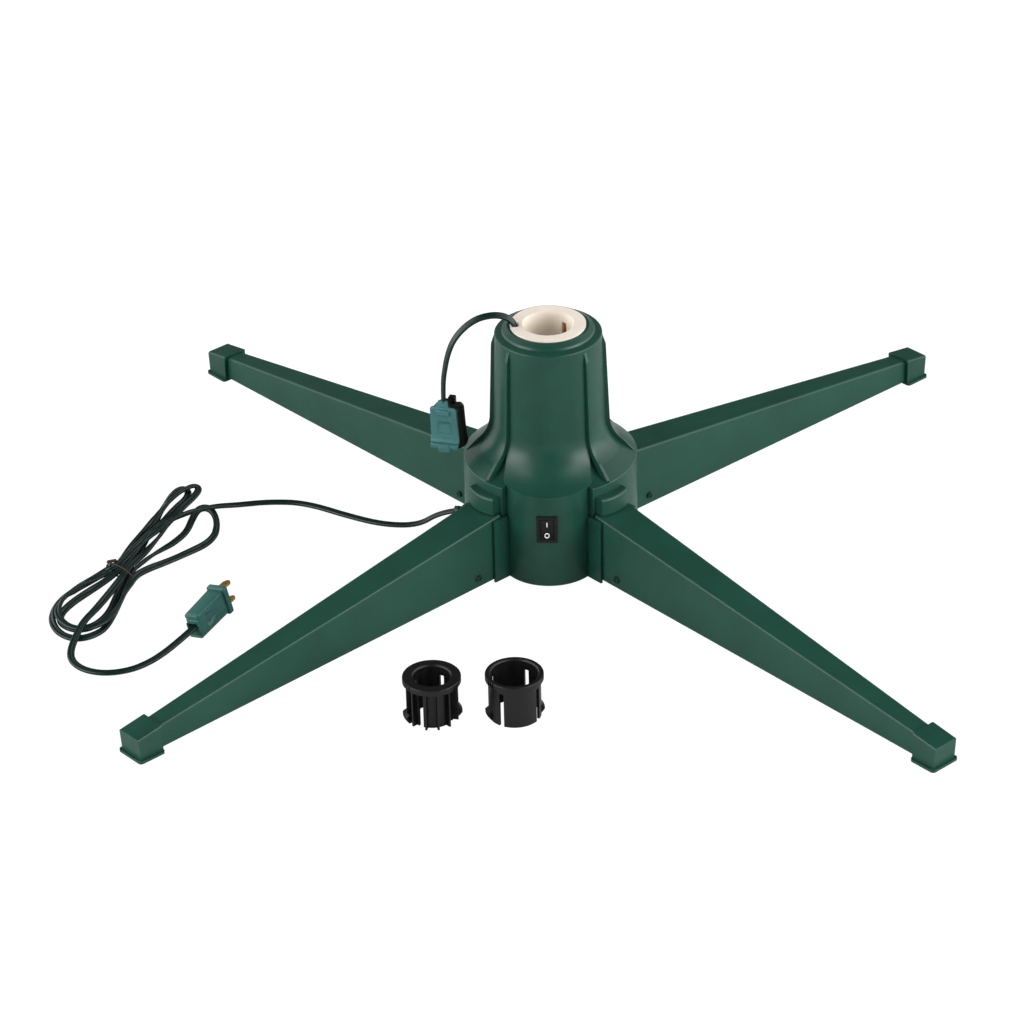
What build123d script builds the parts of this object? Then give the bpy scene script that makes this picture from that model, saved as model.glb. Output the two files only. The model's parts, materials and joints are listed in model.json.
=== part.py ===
from build123d import *
import os
from math import acos, cos, degrees, radians, sin, tan

# Rotating christmas tree stand, in millimetres.
# +Z up, origin on the floor under the rotor axis. The switch faces -Y and the legs stand on the diagonals.
# A moulded hub carries a geared motor and a rotor sleeve that takes the tree pole. Four folded steel legs
# slide over the tongues of the base frame and end in moulded foot caps.

# ---- hub housing
wall = 2.8                      # moulded wall of the housing
hub_radius = 62.3               # drum, outside
hub_bottom_z = 10.0             # underside of the hub
drum_edge_z = 83.0              # edge between drum wall and flare
flare_turn = 52.0               # degrees turned by the arc between neck and flare
flare_lip = 8.44                # rise of the straight run from the drum's edge to that arc
neck_radius = 39.8              # neck at the top of the flare
neck_foot_z = 113.5             # top of the flare
neck_taper = 1.6                # the top of the neck is that much less in radius
ring_z = 180.5                  # top of the neck
step_rise = 3.1                 # raised inner part of the top
rim_rise = 5.5
mouth_clearance = 0.5           # between the hole in the top and the rotor
rim_width = 1.6
step_width = 3.5
step_lip = 0.7
edge_round = 1.2                # rounded edges of the hub
top_wall = 2.5
neck_wall = 2.9                 # neck wall, measured on the radius
lobe_radius = 35.0              # rounded bay that carries the switch
lobe_proud = 3.2                # how far the bay stands out from the drum
lobe_edge_drop = 0.4
scoop_top_half = 27.0           # half width of the scooped front panel, top and bottom
scoop_foot_half = 31.0
block_inset = 0.05              # leg blocks between the bay and the drum wall, against the leg's width
shelf_inset = 0.1               # lowered shelf beside each front leg block
shelf_drop_in = 6.5
rib_proud = 3.0
rib_thickness = 2.4
rib_top_proud = 2.4
rib_top_drop = 9.7
rib_fade = 1.4                  # the ribs end that far inside the drum's radius
rib_angles = (-135, -45, 0, 45, 135, 180)

# ---- legs
leg_angles = {"front_right": -45, "rear_right": 45, "rear_left": 135, "front_left": -135}
leg_gap = 0.3                   # between the drum and the leg's end
leg_length = 319.4
leg_sheet = 1.2
leg_root_width = 30.1
leg_tip_width = 13.9
leg_root_top = 62.6
leg_tip_top = 17.4
leg_root_bottom = 12.2
leg_edge_round = 1.8            # outer radius of the folds
leg_screw_inset = 21.4          # distance of the leg screws from the leg's end
leg_screw_z = 18.5

# ---- sockets on the hub that the legs slide into
cheek_thickness = 1.8
cheek_root = 6.3                # how far the cheeks are let into the drum
cheek_proud = 7.7               # and how far they stand out from it
cheek_drop = 2.6                # the cheeks end that far below the leg's top
lug_half = 12.4
lug_proud = 4.9
lug_bulge = 2.6
lug_height = 13.2
lug_round = 2.2
play = 0.15                     # clearance of sliding and seated plastic pieces

# ---- foot caps
cap_grip = 16.3                 # length of leg inside the cap
cap_end_wall = 4.2
cap_lean = 1.3
cap_wall = 3.35
cap_root_roof = 1.8
cap_tip_roof = 1.0
cap_floor = 1.4
cap_flange_inner = 0.4
cap_flange_outer = 0.8
cap_flange_side = 2.1
cap_flange_height = 2.0
cap_round = 1.6

# ---- base frame
plate_thickness = 3.0
tongue_root = 12.3              # how far the tongues start inside the drum's radius
tongue_length = 54.0
tongue_clearance = 0.4          # to the inside of the leg at the tongue's end
tongue_height = 31.0
tongue_wall = 3.0
centre_boss_radius = 13.0
centre_boss_height = 7.0
hub_boss_radius = 4.2
hub_boss_inset = 3.5            # distance of the bosses from the drum's inner wall
hub_boss_height = 27.0
hub_boss_angles = (-160, -20, 20, 172)

# ---- rotor sleeve
sleeve_proud = 1.0              # above the hub's rim
sleeve_bore = 18.3
sleeve_wall = 2.4
sleeve_flat_wall = 1.9          # wall behind the flat on the outside, towards the cord
sleeve_floor = 3.6
sleeve_float = 0.4              # above the thrust washer
journal_radius = 26.9
journal_wall = 2.0
journal_below = 4.3             # below the upper bush
web_drop = 4.0
web_thickness = 1.6
disc_thickness = 3.0
spigot_radius = 6.0
spigot_rise = 0.8               # above the base plate
key_angle = 54.4                # slot of the grip spring, seen from above
key_width = 4.0
key_drop = 7.5                  # from the sleeve's top
key_height = 31.5
spring_thickness = 0.5
spring_margin = 4.0
spring_leaf_width = 7.0
spring_nose_height = 18.0
hole_inset = 2.6                # hole for the receptacle's cord, from the sleeve's flat
hole_y = -1.8
hole_length = 8.4
hole_width = 5.0

# ---- bearings
running_clearance = 0.05
bush_wall = 4.05
bush_height = 15.5
bush_collar = 2.4               # wall of the collar that holds it
lower_bush_radius = 9.0
washer_radius = 13.0
washer_thickness = 2.0

# ---- gear train
module = 1.0
gear_teeth = 56
pinion_teeth = 14
gear_clearance = 1.7            # above the motor's screws
gear_width = 8.0
tooth_share = 0.70              # half of a tooth's thickness on the pitch circle, in modules
collar_height = 3.0
collar_wall = 2.8
clip_thickness = 1.2
clip_wall = 3.3
clip_groove = 0.8
clip_gap_width = 12.0

# ---- motor
motor_clearance = 2.5           # to the drum's wall and to the base plate
motor_sleeve_gap = 2.3          # to the rotor's sleeve
motor_can_height = 17.0
motor_gearbox_height = 5.0
motor_plate_thickness = 1.2
motor_shaft_radius = 2.0
motor_ear = 6.5                 # distance of the screws from the can
motor_post_radius = 3.6
motor_plug_width = 8.0
motor_plug_depth = 1.5
motor_plug_height = 4.0
motor_round = 1.2

# ---- slip rings and brushes
carrier_height = 25.0
carrier_wall = 3.1
slip_ring_thickness = 1.0
slip_ring_width = 5.0
slip_ring_gap = 5.0
brush_gap = 2.15                # between the slip rings and the block
brush_depth = 13.0
brush_half = 9.0
brush_height = 20.0
brush_slot_depth = 4.0
brush_slot_inset = 1.5
wiper_thickness = 0.5
wiper_width = 3.8
wiper_flat = 1.2
wiper_clearance = 0.3
tower_clearance = 3.15          # to the gear's teeth
tower_depth = 9.0
tower_half = 7.0

# ---- switch
switch_z = 57.0
bezel_width = 15.0
bezel_height = 21.0
bezel_thickness = 1.9
bezel_proud = 1.0
bezel_round = 1.2
bezel_lip = 1.1                 # overlap of the bezel on the panel
switch_depth = 17.6
switch_pocket_depth = 9.0
rocker_side_wall = 1.7
rocker_end_wall = 2.0
rocker_clear = 0.8
rocker_tilt = 9.0
rocker_horn = 3.4               # height of the rocker's ends, its middle, shoulder and back over the pivot
rocker_dip = 1.8
rocker_shoulder = 2.2
rocker_back = 2.5
rocker_back_half = 3.5
trunnion_radius = 1.2
rocker_pivot_inset = 2.3        # behind the bezel's front
mark_reach = 4.3
mark_height = 3.2
mark_stroke = 0.7
mark_depth = 0.4
terminal_width = 4.8
terminal_thickness = 0.8
terminal_length = 8.0
terminal_reach = 5.0

# ---- cord bushing and cords
bushing_angle = 160.0
bushing_rise = 5.0              # above the base plate
bushing_radius = 4.6
bushing_length = 14.0           # outside the drum
bushing_flange = 5.2
bushing_flange_width = 2.4
bushing_tail = 3.4
bushing_inner = 2.2
bushing_groove = 1.2
bushing_groove_pitch = 2.8
bushing_core = 3.1
cord_width = 3.8                # flat twin lead, laid as a round tube of its width
rotor_cord_width = 3.8

# ---- pole adapters, loose
adapter_height = 33.0
adapter_clearance = 0.2         # to the sleeve's bore
adapter_flange_proud = 2.0
adapter_flange_height = 4.2
adapter_flange_round = 0.7
adapter_wall = 1.8
adapter_small_bore = 12.8       # 1 in pole
adapter_rib_thickness = 1.3
adapter_rib_spread = 28.0       # degrees between the ribs of a panel
adapter_slot_width = 3.4        # four slots part the fingers from the panels
adapter_slot_drop = 8.2         # from the top
adapter_chamfer = 0.9
barb_proud = 2.3
barb_height = 6.6
barb_turn = 30.0                # degrees covered by a barb
grip_notch = 1.1                # notches in the sides of the flange
grip_notch_depth = 0.6
grip_pitch = 7.0                # degrees
grip_turn = 70.0                # degrees covered by the notches of one side
adapter_small_place = (-72.5, -219.0)
adapter_large_place = (-16.5, -214.4)

# ---- screws
screw_radius = 1.7
screw_pilot = 1.3
screw_head_radius = 2.7
screw_head_height = 1.6
screw_recess_length = 3.0
screw_recess_width = 0.7
screw_recess_depth = 0.9
screw_length = 12.0
motor_screw_length = 8.0

# ---- worked out from the sizes above
plate_top = hub_bottom_z + plate_thickness
step_z = ring_z + step_rise
rim_z = ring_z + rim_rise
sleeve_top = rim_z + sleeve_proud
ring_radius = neck_radius - neck_taper
mouth_radius = journal_radius + mouth_clearance
rim_radius = mouth_radius + rim_width
step_radius = rim_radius + step_width
rib_top_radius = ring_radius + rib_top_proud
rib_top_z = ring_z - rib_top_drop
rib_end_radius = hub_radius - rib_fade
lobe_offset = hub_radius + lobe_proud - lobe_radius
lobe_edge_z = drum_edge_z - lobe_edge_drop
flare_radius = (neck_foot_z - drum_edge_z - flare_lip) / sin(radians(flare_turn))
flare_centre = (neck_radius + flare_radius, neck_foot_z)
block_half = leg_root_width / 2 - block_inset
shelf_radius = neck_radius - shelf_inset
shelf_top_z = neck_foot_z - shelf_drop_in
shelf_run = hub_radius - shelf_radius
shelf_drop = shelf_top_z - drum_edge_z
shelf_arc_radius = (shelf_run ** 2 + shelf_drop ** 2) / (2 * shelf_run)
shelf_centre = shelf_radius + shelf_arc_radius
inner_foot = (shelf_centre - hub_radius + wall) / (shelf_arc_radius + wall)
inner_turn = degrees(acos(inner_foot))
cavity_top_z = ring_z - top_wall
bush_outer = journal_radius + running_clearance + bush_wall
bush_foot_z = cavity_top_z - 0.2 - bush_height
journal_foot_z = bush_foot_z - journal_below
key_top_z = sleeve_top - key_drop
key_foot_z = key_top_z - key_height
centre_boss_top = plate_top + centre_boss_height
sleeve_floor_z = centre_boss_top + washer_thickness + sleeve_float
spigot_foot_z = plate_top + spigot_rise
sleeve_outer = sleeve_bore + sleeve_wall
sleeve_flat = sleeve_bore + sleeve_flat_wall
hole_x = -sleeve_flat - hole_inset
gear_pitch_radius = module * gear_teeth / 2
pinion_pitch_radius = module * pinion_teeth / 2
gear_tip_radius = gear_pitch_radius + 0.85 * module
shaft_reach = gear_pitch_radius + pinion_pitch_radius
motor_radius = (hub_radius - wall - motor_clearance - sleeve_outer - motor_sleeve_gap) / 2
motor_reach = hub_radius - wall - motor_clearance - motor_radius
motor_screw_span = 2 * (motor_radius + motor_ear)
motor_foot_z = plate_top + motor_clearance
motor_plate_z = motor_foot_z + motor_can_height + motor_gearbox_height
gear_foot_z = motor_plate_z + motor_plate_thickness + screw_head_height + gear_clearance
gear_top_z = gear_foot_z + gear_width
clip_foot_z = gear_foot_z - play - clip_thickness
clip_radius = sleeve_outer + clip_wall
collar_radius = sleeve_outer + collar_wall
carrier_radius = sleeve_outer + carrier_wall
carrier_foot_z = gear_top_z + play + collar_height + play
carrier_top_z = carrier_foot_z + carrier_height
ring_face = carrier_radius + running_clearance + slip_ring_thickness
brush_start = ring_face + brush_gap
brush_end = brush_start + brush_depth
tower_start = gear_tip_radius + tower_clearance
tower_end = tower_start + tower_depth
brush_foot_z = carrier_foot_z + (carrier_height - brush_height) / 2
lobe_front = lobe_offset + lobe_radius
bezel_front = lobe_front + bezel_proud
switch_body_width = bezel_width - 2 * bezel_lip
switch_body_height = bezel_height - 2 * bezel_lip
rocker_width = switch_body_width - 2 * rocker_side_wall
rocker_half = switch_body_height / 2 - rocker_end_wall
rocker_pivot_y = rocker_pivot_inset - bezel_front
bushing_z = plate_top + bushing_rise
bushing_end = hub_radius + bushing_length
leg_start = hub_radius + leg_gap
leg_end = leg_start + leg_length
leg_tip_bottom = cap_floor + 0.1
leg_screw_reach = leg_start + leg_screw_inset
cheek_inside = leg_root_width / 2 + play
cheek_outside = cheek_inside + cheek_thickness
cheek_start = hub_radius - cheek_root
cheek_end = hub_radius + cheek_proud
cheek_top_z = leg_root_top - cheek_drop
lug_end = hub_radius + lug_proud
lug_top = leg_root_top + lug_height
tongue_start = hub_radius - tongue_root
tongue_end = tongue_start + tongue_length
tongue_top = hub_bottom_z + tongue_height
hub_boss_reach = hub_radius - wall - hub_boss_inset
hub_boss_top = plate_top + hub_boss_height
cap_start = leg_end - cap_grip
cap_end = leg_end + cap_end_wall
cap_half = leg_tip_width / 2 + cap_wall
cap_tip_top = leg_tip_top + cap_tip_roof
cap_flange_half = cap_half + cap_flange_side
cap_flange_start = cap_start - cap_flange_inner
cap_flange_end = cap_end + cap_flange_outer
adapter_radius = sleeve_bore - adapter_clearance
adapter_flange_radius = adapter_radius + adapter_flange_proud
adapter_large_bore = adapter_radius - adapter_wall              # 1 1/4 in pole

os.makedirs("parts", exist_ok=True)


def save(part, name):
    """Labels a finished piece and writes it under its own name."""
    part.label = name
    export_step(part, f"parts/{name}.step")


def level(z):
    """Horizontal plane at a height."""
    return Plane.XY.offset(z)


def turned(angle, z=0.0):
    """Horizontal plane whose x runs outwards at an angle."""
    a = radians(angle)
    return Plane(origin=(0, 0, z), x_dir=(cos(a), sin(a), 0), z_dir=(0, 0, 1))


def upright(angle):
    """Vertical plane through the axis: x runs outwards, y runs up."""
    a = radians(angle)
    return Plane(origin=(0, 0, 0), x_dir=(cos(a), sin(a), 0), z_dir=(sin(a), -cos(a), 0))


def across(angle, reach, z=0.0):
    """Plane square to a direction, at a distance from the axis: x runs sideways, y runs up."""
    a = radians(angle)
    return Plane(origin=(reach * cos(a), reach * sin(a), z), x_dir=(-sin(a), cos(a), 0), z_dir=(cos(a), sin(a), 0))


def polar(reach, angle):
    """Plan position at a distance and an angle."""
    return (reach * cos(radians(angle)), reach * sin(radians(angle)))


def between(start, end, share):
    """Value part of the way from one to another."""
    return start + (end - start) * share


def leg_at(reach):
    """Half width, top and bottom of a leg at a distance from the axis."""
    share = (reach - leg_start) / (leg_end - leg_start)
    return (between(leg_root_width, leg_tip_width, share) / 2,
            between(leg_root_top, leg_tip_top, share),
            between(leg_root_bottom, leg_tip_bottom, share))


tongue_half = leg_at(tongue_end)[0] - leg_sheet - tongue_clearance
cap_root_top = leg_at(cap_start)[1] + cap_root_roof


def ring(outer, inner, foot, height):
    """Plain ring about the rotor axis."""
    with BuildPart() as piece:
        with BuildSketch(level(foot)):
            Circle(outer)
            Circle(inner, mode=Mode.SUBTRACT)
        extrude(amount=height)
    return piece.part


# =====================================================================================================
# Hub housing
# =====================================================================================================
def gap_points(half, reach):
    """Plan of the space between the two front leg blocks."""
    side = cos(radians(45))
    tip = (0, -half / side)
    right = (side * (reach - half), -side * (reach + half))
    return [tip, right, (-right[0], right[1])]


def hub_plan(inset):
    """Outline of the drum: round at the sides and back, with the bay in front."""
    with BuildSketch() as bay_plan:
        with Locations((0, -lobe_offset)):
            Circle(lobe_radius - inset)
        Rectangle(2 * (scoop_foot_half - inset), 4 * hub_radius, mode=Mode.INTERSECT)
    with BuildSketch() as plan:
        Circle(hub_radius - inset)
        with BuildLine():
            Polyline(*gap_points(block_half - inset, 2 * hub_radius), close=True)
        make_face(mode=Mode.SUBTRACT)
        add(bay_plan.sketch)
    return plan.sketch


with BuildPart() as shelf_body:      # the hub as it is beside the front leg blocks, where the flare lies lower
    with BuildSketch(Plane.XZ):
        with BuildLine():
            shelf_arc = TangentArc((shelf_radius, shelf_top_z), (hub_radius, drum_edge_z), tangent=(0, -1))
            Polyline(shelf_arc @ 1, (hub_radius, hub_bottom_z), (0, hub_bottom_z), (0, neck_foot_z + 10),
                     (shelf_radius, neck_foot_z + 10), shelf_arc @ 0)
        make_face()
    revolve(axis=Axis.Z)

scoop_run = lobe_front - neck_radius
scoop_drop = neck_foot_z - lobe_edge_z
scoop_arc_radius = (scoop_run ** 2 + scoop_drop ** 2) / (2 * scoop_run)
scoop_centre = neck_radius + scoop_arc_radius


def bay_part(inset, foot):
    """Front panel: the round switch bay and the scoop that runs up from it to the neck."""
    with BuildPart() as bay:
        with BuildSketch(level(foot)):
            with Locations((0, -lobe_offset)):
                Circle(lobe_radius - inset)
        extrude(amount=neck_foot_z - foot)
        with BuildSketch(Plane.XZ):
            with BuildLine():
                turn = degrees(acos((scoop_centre - lobe_front + inset) / (scoop_arc_radius + inset)))
                arc = CenterArc((scoop_centre, neck_foot_z), scoop_arc_radius + inset, 180, turn)
                Polyline(arc @ 1, (lobe_front - inset, foot), (0, foot), (0, neck_foot_z), arc @ 0)
            make_face()
        revolve(axis=Axis.Z, mode=Mode.INTERSECT)
        with BuildSketch(Plane.XZ):
            add(scoop_front(inset))
        extrude(amount=2 * hub_radius, both=True, mode=Mode.INTERSECT)
    return bay.part


def scoop_front(inset):
    """Outline of the front panel seen from the front."""
    with BuildSketch() as outline:
        with BuildLine():
            Polyline((scoop_foot_half - inset, hub_bottom_z - 1), (scoop_foot_half - inset, drum_edge_z + 3),
                     (scoop_top_half - inset, neck_foot_z), (inset - scoop_top_half, neck_foot_z),
                     (inset - scoop_foot_half, drum_edge_z + 3), (inset - scoop_foot_half, hub_bottom_z - 1),
                     close=True)
        make_face()
    return outline.sketch


with BuildPart() as bay_zone:        # everything in front that the panel replaces
    with BuildSketch(level(hub_bottom_z)):
        with Locations((0, -lobe_offset)):
            Circle(lobe_radius)
    extrude(amount=neck_foot_z - hub_bottom_z)
    with BuildSketch(Plane.XZ):
        add(scoop_front(0))
    extrude(amount=2 * hub_radius, both=True, mode=Mode.INTERSECT)

with BuildPart() as front_gap:       # air between the leg blocks and the bay, below the neck
    with BuildSketch(level(hub_bottom_z - 1)):
        with BuildLine():
            Polyline(*gap_points(block_half, 2 * hub_radius), close=True)
        make_face()
        Circle(neck_radius, mode=Mode.SUBTRACT)
    extrude(amount=neck_foot_z - hub_bottom_z + 1)

with BuildPart() as shelf_cut:       # what the lowered shelves take away, on both sides of the front panel
    for side in (1, -1):
        with BuildSketch(level(drum_edge_z - 5)):
            with BuildLine():
                Polyline((side * scoop_top_half, -scoop_top_half), (side * hub_radius, -hub_radius),
                         (side * scoop_top_half, -hub_radius), close=True)
            make_face()
        extrude(amount=neck_foot_z - drum_edge_z + 5)
    add(shelf_body.part, mode=Mode.SUBTRACT)

with BuildPart() as cavity:          # room inside the housing
    with BuildSketch(Plane.XZ):
        with BuildLine():
            inner_arc = CenterArc((shelf_centre, shelf_top_z), shelf_arc_radius + wall, 180, inner_turn)
            Polyline(inner_arc @ 1, (hub_radius - wall, hub_bottom_z - 1), (0, hub_bottom_z - 1),
                     (0, cavity_top_z), (ring_radius - neck_wall, cavity_top_z), inner_arc @ 0)
        make_face()
    revolve(axis=Axis.Z)
    with BuildSketch(level(hub_bottom_z - 1)):
        with BuildLine():
            Polyline(*gap_points(block_half - wall, 2 * hub_radius), close=True)
        make_face()
        Circle(neck_radius - neck_wall, mode=Mode.SUBTRACT)
    extrude(amount=neck_foot_z - hub_bottom_z + 1, mode=Mode.SUBTRACT)
    add(bay_part(wall, hub_bottom_z - 1))

def on_circle(edge, radius, z):
    """Whether an edge is the circle of that radius about the axis at that height."""
    return edge.geom_type == GeomType.CIRCLE and abs(edge.radius - radius) + abs(edge.center().Z - z) < 0.02


def leg_lug(angle):
    """Lug above the root of a leg, with a bulging face and a rounded upper edge."""
    with BuildPart() as lug:
        with BuildSketch(turned(angle, leg_root_top + play)):
            with BuildLine():
                face = ThreePointArc((lug_end, -lug_half), (lug_end + lug_bulge, 0), (lug_end, lug_half))
                Polyline(face @ 1, (cheek_start + 1, lug_half), (cheek_start + 1, -lug_half), face @ 0)
            make_face()
        extrude(amount=lug_top - leg_root_top - play)
        fillet(lug.edges().group_by(Axis.Z)[-1].filter_by(GeomType.CIRCLE), radius=lug_round)
    return lug.part


with BuildPart() as hub:
    with BuildSketch(Plane.XZ):
        with BuildLine():
            main_arc = CenterArc(flare_centre, flare_radius, 180, flare_turn)
            Polyline(main_arc @ 1, (hub_radius, drum_edge_z), (hub_radius, hub_bottom_z), (0, hub_bottom_z),
                     (0, rim_z), (rim_radius, rim_z), (step_radius, step_z), (step_radius + step_lip, between(ring_z, step_z, 0.5)),
                     (ring_radius, ring_z), main_arc @ 0)
        make_face()
    revolve(axis=Axis.Z)
    fillet(hub.edges().filter_by(lambda e: on_circle(e, ring_radius, ring_z)), radius=edge_round)
    fillet(hub.edges().filter_by(lambda e: on_circle(e, hub_radius, drum_edge_z)), radius=edge_round)
    fillet(hub.edges().filter_by(lambda e: on_circle(e, step_radius, step_z)), radius=edge_round / 2)
    add(front_gap.part, mode=Mode.SUBTRACT)
    add(shelf_cut.part, mode=Mode.SUBTRACT)
    add(bay_zone.part, mode=Mode.SUBTRACT)
    add(bay_part(0, hub_bottom_z))
    for angle in rib_angles:         # ribs that run down the neck and fade out on the drum's edge
        with BuildSketch(upright(angle)):
            with BuildLine():
                rib_arc = CenterArc(flare_centre, flare_radius - rib_proud, 180, flare_turn)
                root_arc = CenterArc((shelf_centre, shelf_top_z), shelf_arc_radius + wall / 2, 180, 83)
                Polyline(rib_arc @ 1, (rib_end_radius, drum_edge_z + 1), root_arc @ 1)
                Polyline(root_arc @ 0, (ring_radius - neck_wall / 2, ring_z - 2), (ring_radius - 0.1, ring_z - 2),
                         (rib_top_radius, rib_top_z), rib_arc @ 0)
            make_face()
        extrude(amount=rib_thickness / 2, both=True)
    for angle in leg_angles.values():
        add(leg_lug(angle))
        for side in (1, -1):                                        # cheeks beside the leg's root
            with BuildSketch(turned(angle, hub_bottom_z)):
                with BuildLine():
                    Polyline((cheek_start, side * (block_half - 1)), (leg_start - 0.2, side * (block_half - 1)),
                             (leg_start - 0.2, side * cheek_inside), (cheek_end, side * cheek_inside),
                             (cheek_end, side * cheek_outside), (cheek_start, side * cheek_outside), close=True)
                make_face()
            extrude(amount=cheek_top_z - hub_bottom_z)
    add(cavity.part, mode=Mode.SUBTRACT)
    with BuildSketch(level(bush_foot_z - 2)):                       # collar that holds the upper bush
        Circle(bush_outer + bush_collar)
        Circle(bush_outer + running_clearance, mode=Mode.SUBTRACT)
    extrude(amount=cavity_top_z - bush_foot_z + 3)
    with BuildSketch(level(cavity_top_z - 1)):
        Circle(mouth_radius)
    extrude(amount=rim_z - cavity_top_z + 2, mode=Mode.SUBTRACT)
    for angle in hub_boss_angles:                                   # bosses for the screws from below
        with BuildSketch(level(plate_top)):
            with Locations(polar(hub_boss_reach, angle)):
                Circle(hub_boss_radius)
        extrude(amount=hub_boss_top - plate_top)
        with BuildSketch(level(plate_top)):
            with Locations(polar(hub_boss_reach, angle)):
                Circle(screw_radius + running_clearance)
        extrude(amount=screw_length, mode=Mode.SUBTRACT)
    for angle in leg_angles.values():                               # windows for the tongues of the base frame
        with BuildSketch(turned(angle, hub_bottom_z - 1)):
            with Locations(((tongue_start + leg_start) / 2 + 1, 0)):
                Rectangle(leg_start - tongue_start + 2, 2 * tongue_half + 0.7)
        extrude(amount=tongue_top + 1.7 - hub_bottom_z, mode=Mode.SUBTRACT)
    with BuildSketch(Plane.XZ.offset(bezel_front - bezel_thickness)):     # seat and hole of the switch
        with Locations((0, switch_z)):
            Rectangle(bezel_width + 0.1, bezel_height + 0.1)
    extrude(amount=5, mode=Mode.SUBTRACT)
    with BuildSketch(Plane.XZ.offset(bezel_front - 8)):
        with Locations((0, switch_z)):
            Rectangle(switch_body_width + 0.2, switch_body_height + 0.2)
    extrude(amount=8, mode=Mode.SUBTRACT)
    with BuildSketch(across(bushing_angle, hub_radius - 6, bushing_z)):
        Circle(bushing_radius + running_clearance)
    extrude(amount=10, mode=Mode.SUBTRACT)
save(hub.part, "hub_housing")

# =====================================================================================================
# Base frame: plate that closes the hub from below, with the tongues, posts and the lower bearing seat
# =====================================================================================================
with BuildPart() as base_frame:
    with BuildSketch(level(hub_bottom_z)):
        add(hub_plan(wall + 2 * play))
    extrude(amount=plate_thickness)
    for angle in leg_angles.values():
        with BuildSketch(turned(angle, hub_bottom_z + 1)):
            with Locations(((tongue_start + tongue_end) / 2, 0)):
                Rectangle(tongue_end - tongue_start, 2 * tongue_half)
        extrude(amount=tongue_top - hub_bottom_z - 1)
    for angle in leg_angles.values():
        with BuildSketch(turned(angle, hub_bottom_z - 1)):
            with Locations(((tongue_start + tongue_end) / 2, 0)):
                Rectangle(tongue_end - tongue_start - 2 * tongue_wall, 2 * (tongue_half - tongue_wall))
        extrude(amount=tongue_top - tongue_wall - hub_bottom_z + 1, mode=Mode.SUBTRACT)
        with BuildSketch(upright(angle)):
            with Locations((leg_screw_reach, leg_screw_z)):
                Circle(screw_radius + running_clearance)
        extrude(amount=20, both=True, mode=Mode.SUBTRACT)
    with BuildSketch(level(plate_top - 1)):
        Circle(centre_boss_radius)
        with Locations((motor_screw_span / 2, motor_reach), (-motor_screw_span / 2, motor_reach)):
            Circle(motor_post_radius)
    extrude(amount=centre_boss_top - plate_top + 1)
    with BuildSketch(level(plate_top)):
        with Locations((motor_screw_span / 2, motor_reach), (-motor_screw_span / 2, motor_reach)):
            Circle(motor_post_radius)
    extrude(amount=motor_plate_z - plate_top)
    with BuildSketch(level(motor_plate_z - motor_screw_length)):
        with Locations((motor_screw_span / 2, motor_reach), (-motor_screw_span / 2, motor_reach)):
            Circle(screw_radius + running_clearance)
    extrude(amount=motor_screw_length + 1, mode=Mode.SUBTRACT)
    with BuildSketch(level(plate_top - 1)):
        with Locations(((tower_start + tower_end) / 2, 0)):
            Rectangle(tower_end - tower_start, 2 * tower_half)
    extrude(amount=brush_foot_z - plate_top + 1)
    with BuildSketch(level(plate_top)):
        Circle(lower_bush_radius + running_clearance)
    extrude(amount=centre_boss_top - plate_top + 1, mode=Mode.SUBTRACT)
    with BuildSketch(level(hub_bottom_z - 1)):
        with Locations([polar(hub_boss_reach, a) for a in hub_boss_angles]):
            Circle(screw_radius + running_clearance)
    extrude(amount=plate_thickness + 2, mode=Mode.SUBTRACT)
save(base_frame.part, "base_frame")


def pan_screw(plane, length):
    """Pan head screw: head outside the plane, shank behind it, cross recess in the head."""
    with BuildPart() as screw:
        with BuildSketch(plane):
            Circle(screw_head_radius)
        extrude(amount=screw_head_height, taper=18)
        with BuildSketch(plane):
            Circle(screw_radius)
        extrude(amount=-length)
        with BuildSketch(plane.offset(screw_head_height - screw_recess_depth)):
            Rectangle(screw_recess_length, screw_recess_width)
            Rectangle(screw_recess_width, screw_recess_length)
        extrude(amount=2, mode=Mode.SUBTRACT)
    return screw.part


with BuildPart() as housing_screws:
    for angle in hub_boss_angles:
        x, y = polar(hub_boss_reach, angle)
        add(pan_screw(Plane(origin=(x, y, hub_bottom_z), x_dir=(1, 0, 0), z_dir=(0, 0, -1)),
                      plate_thickness + screw_length - 0.5))
save(housing_screws.part, "housing_screws")

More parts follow.
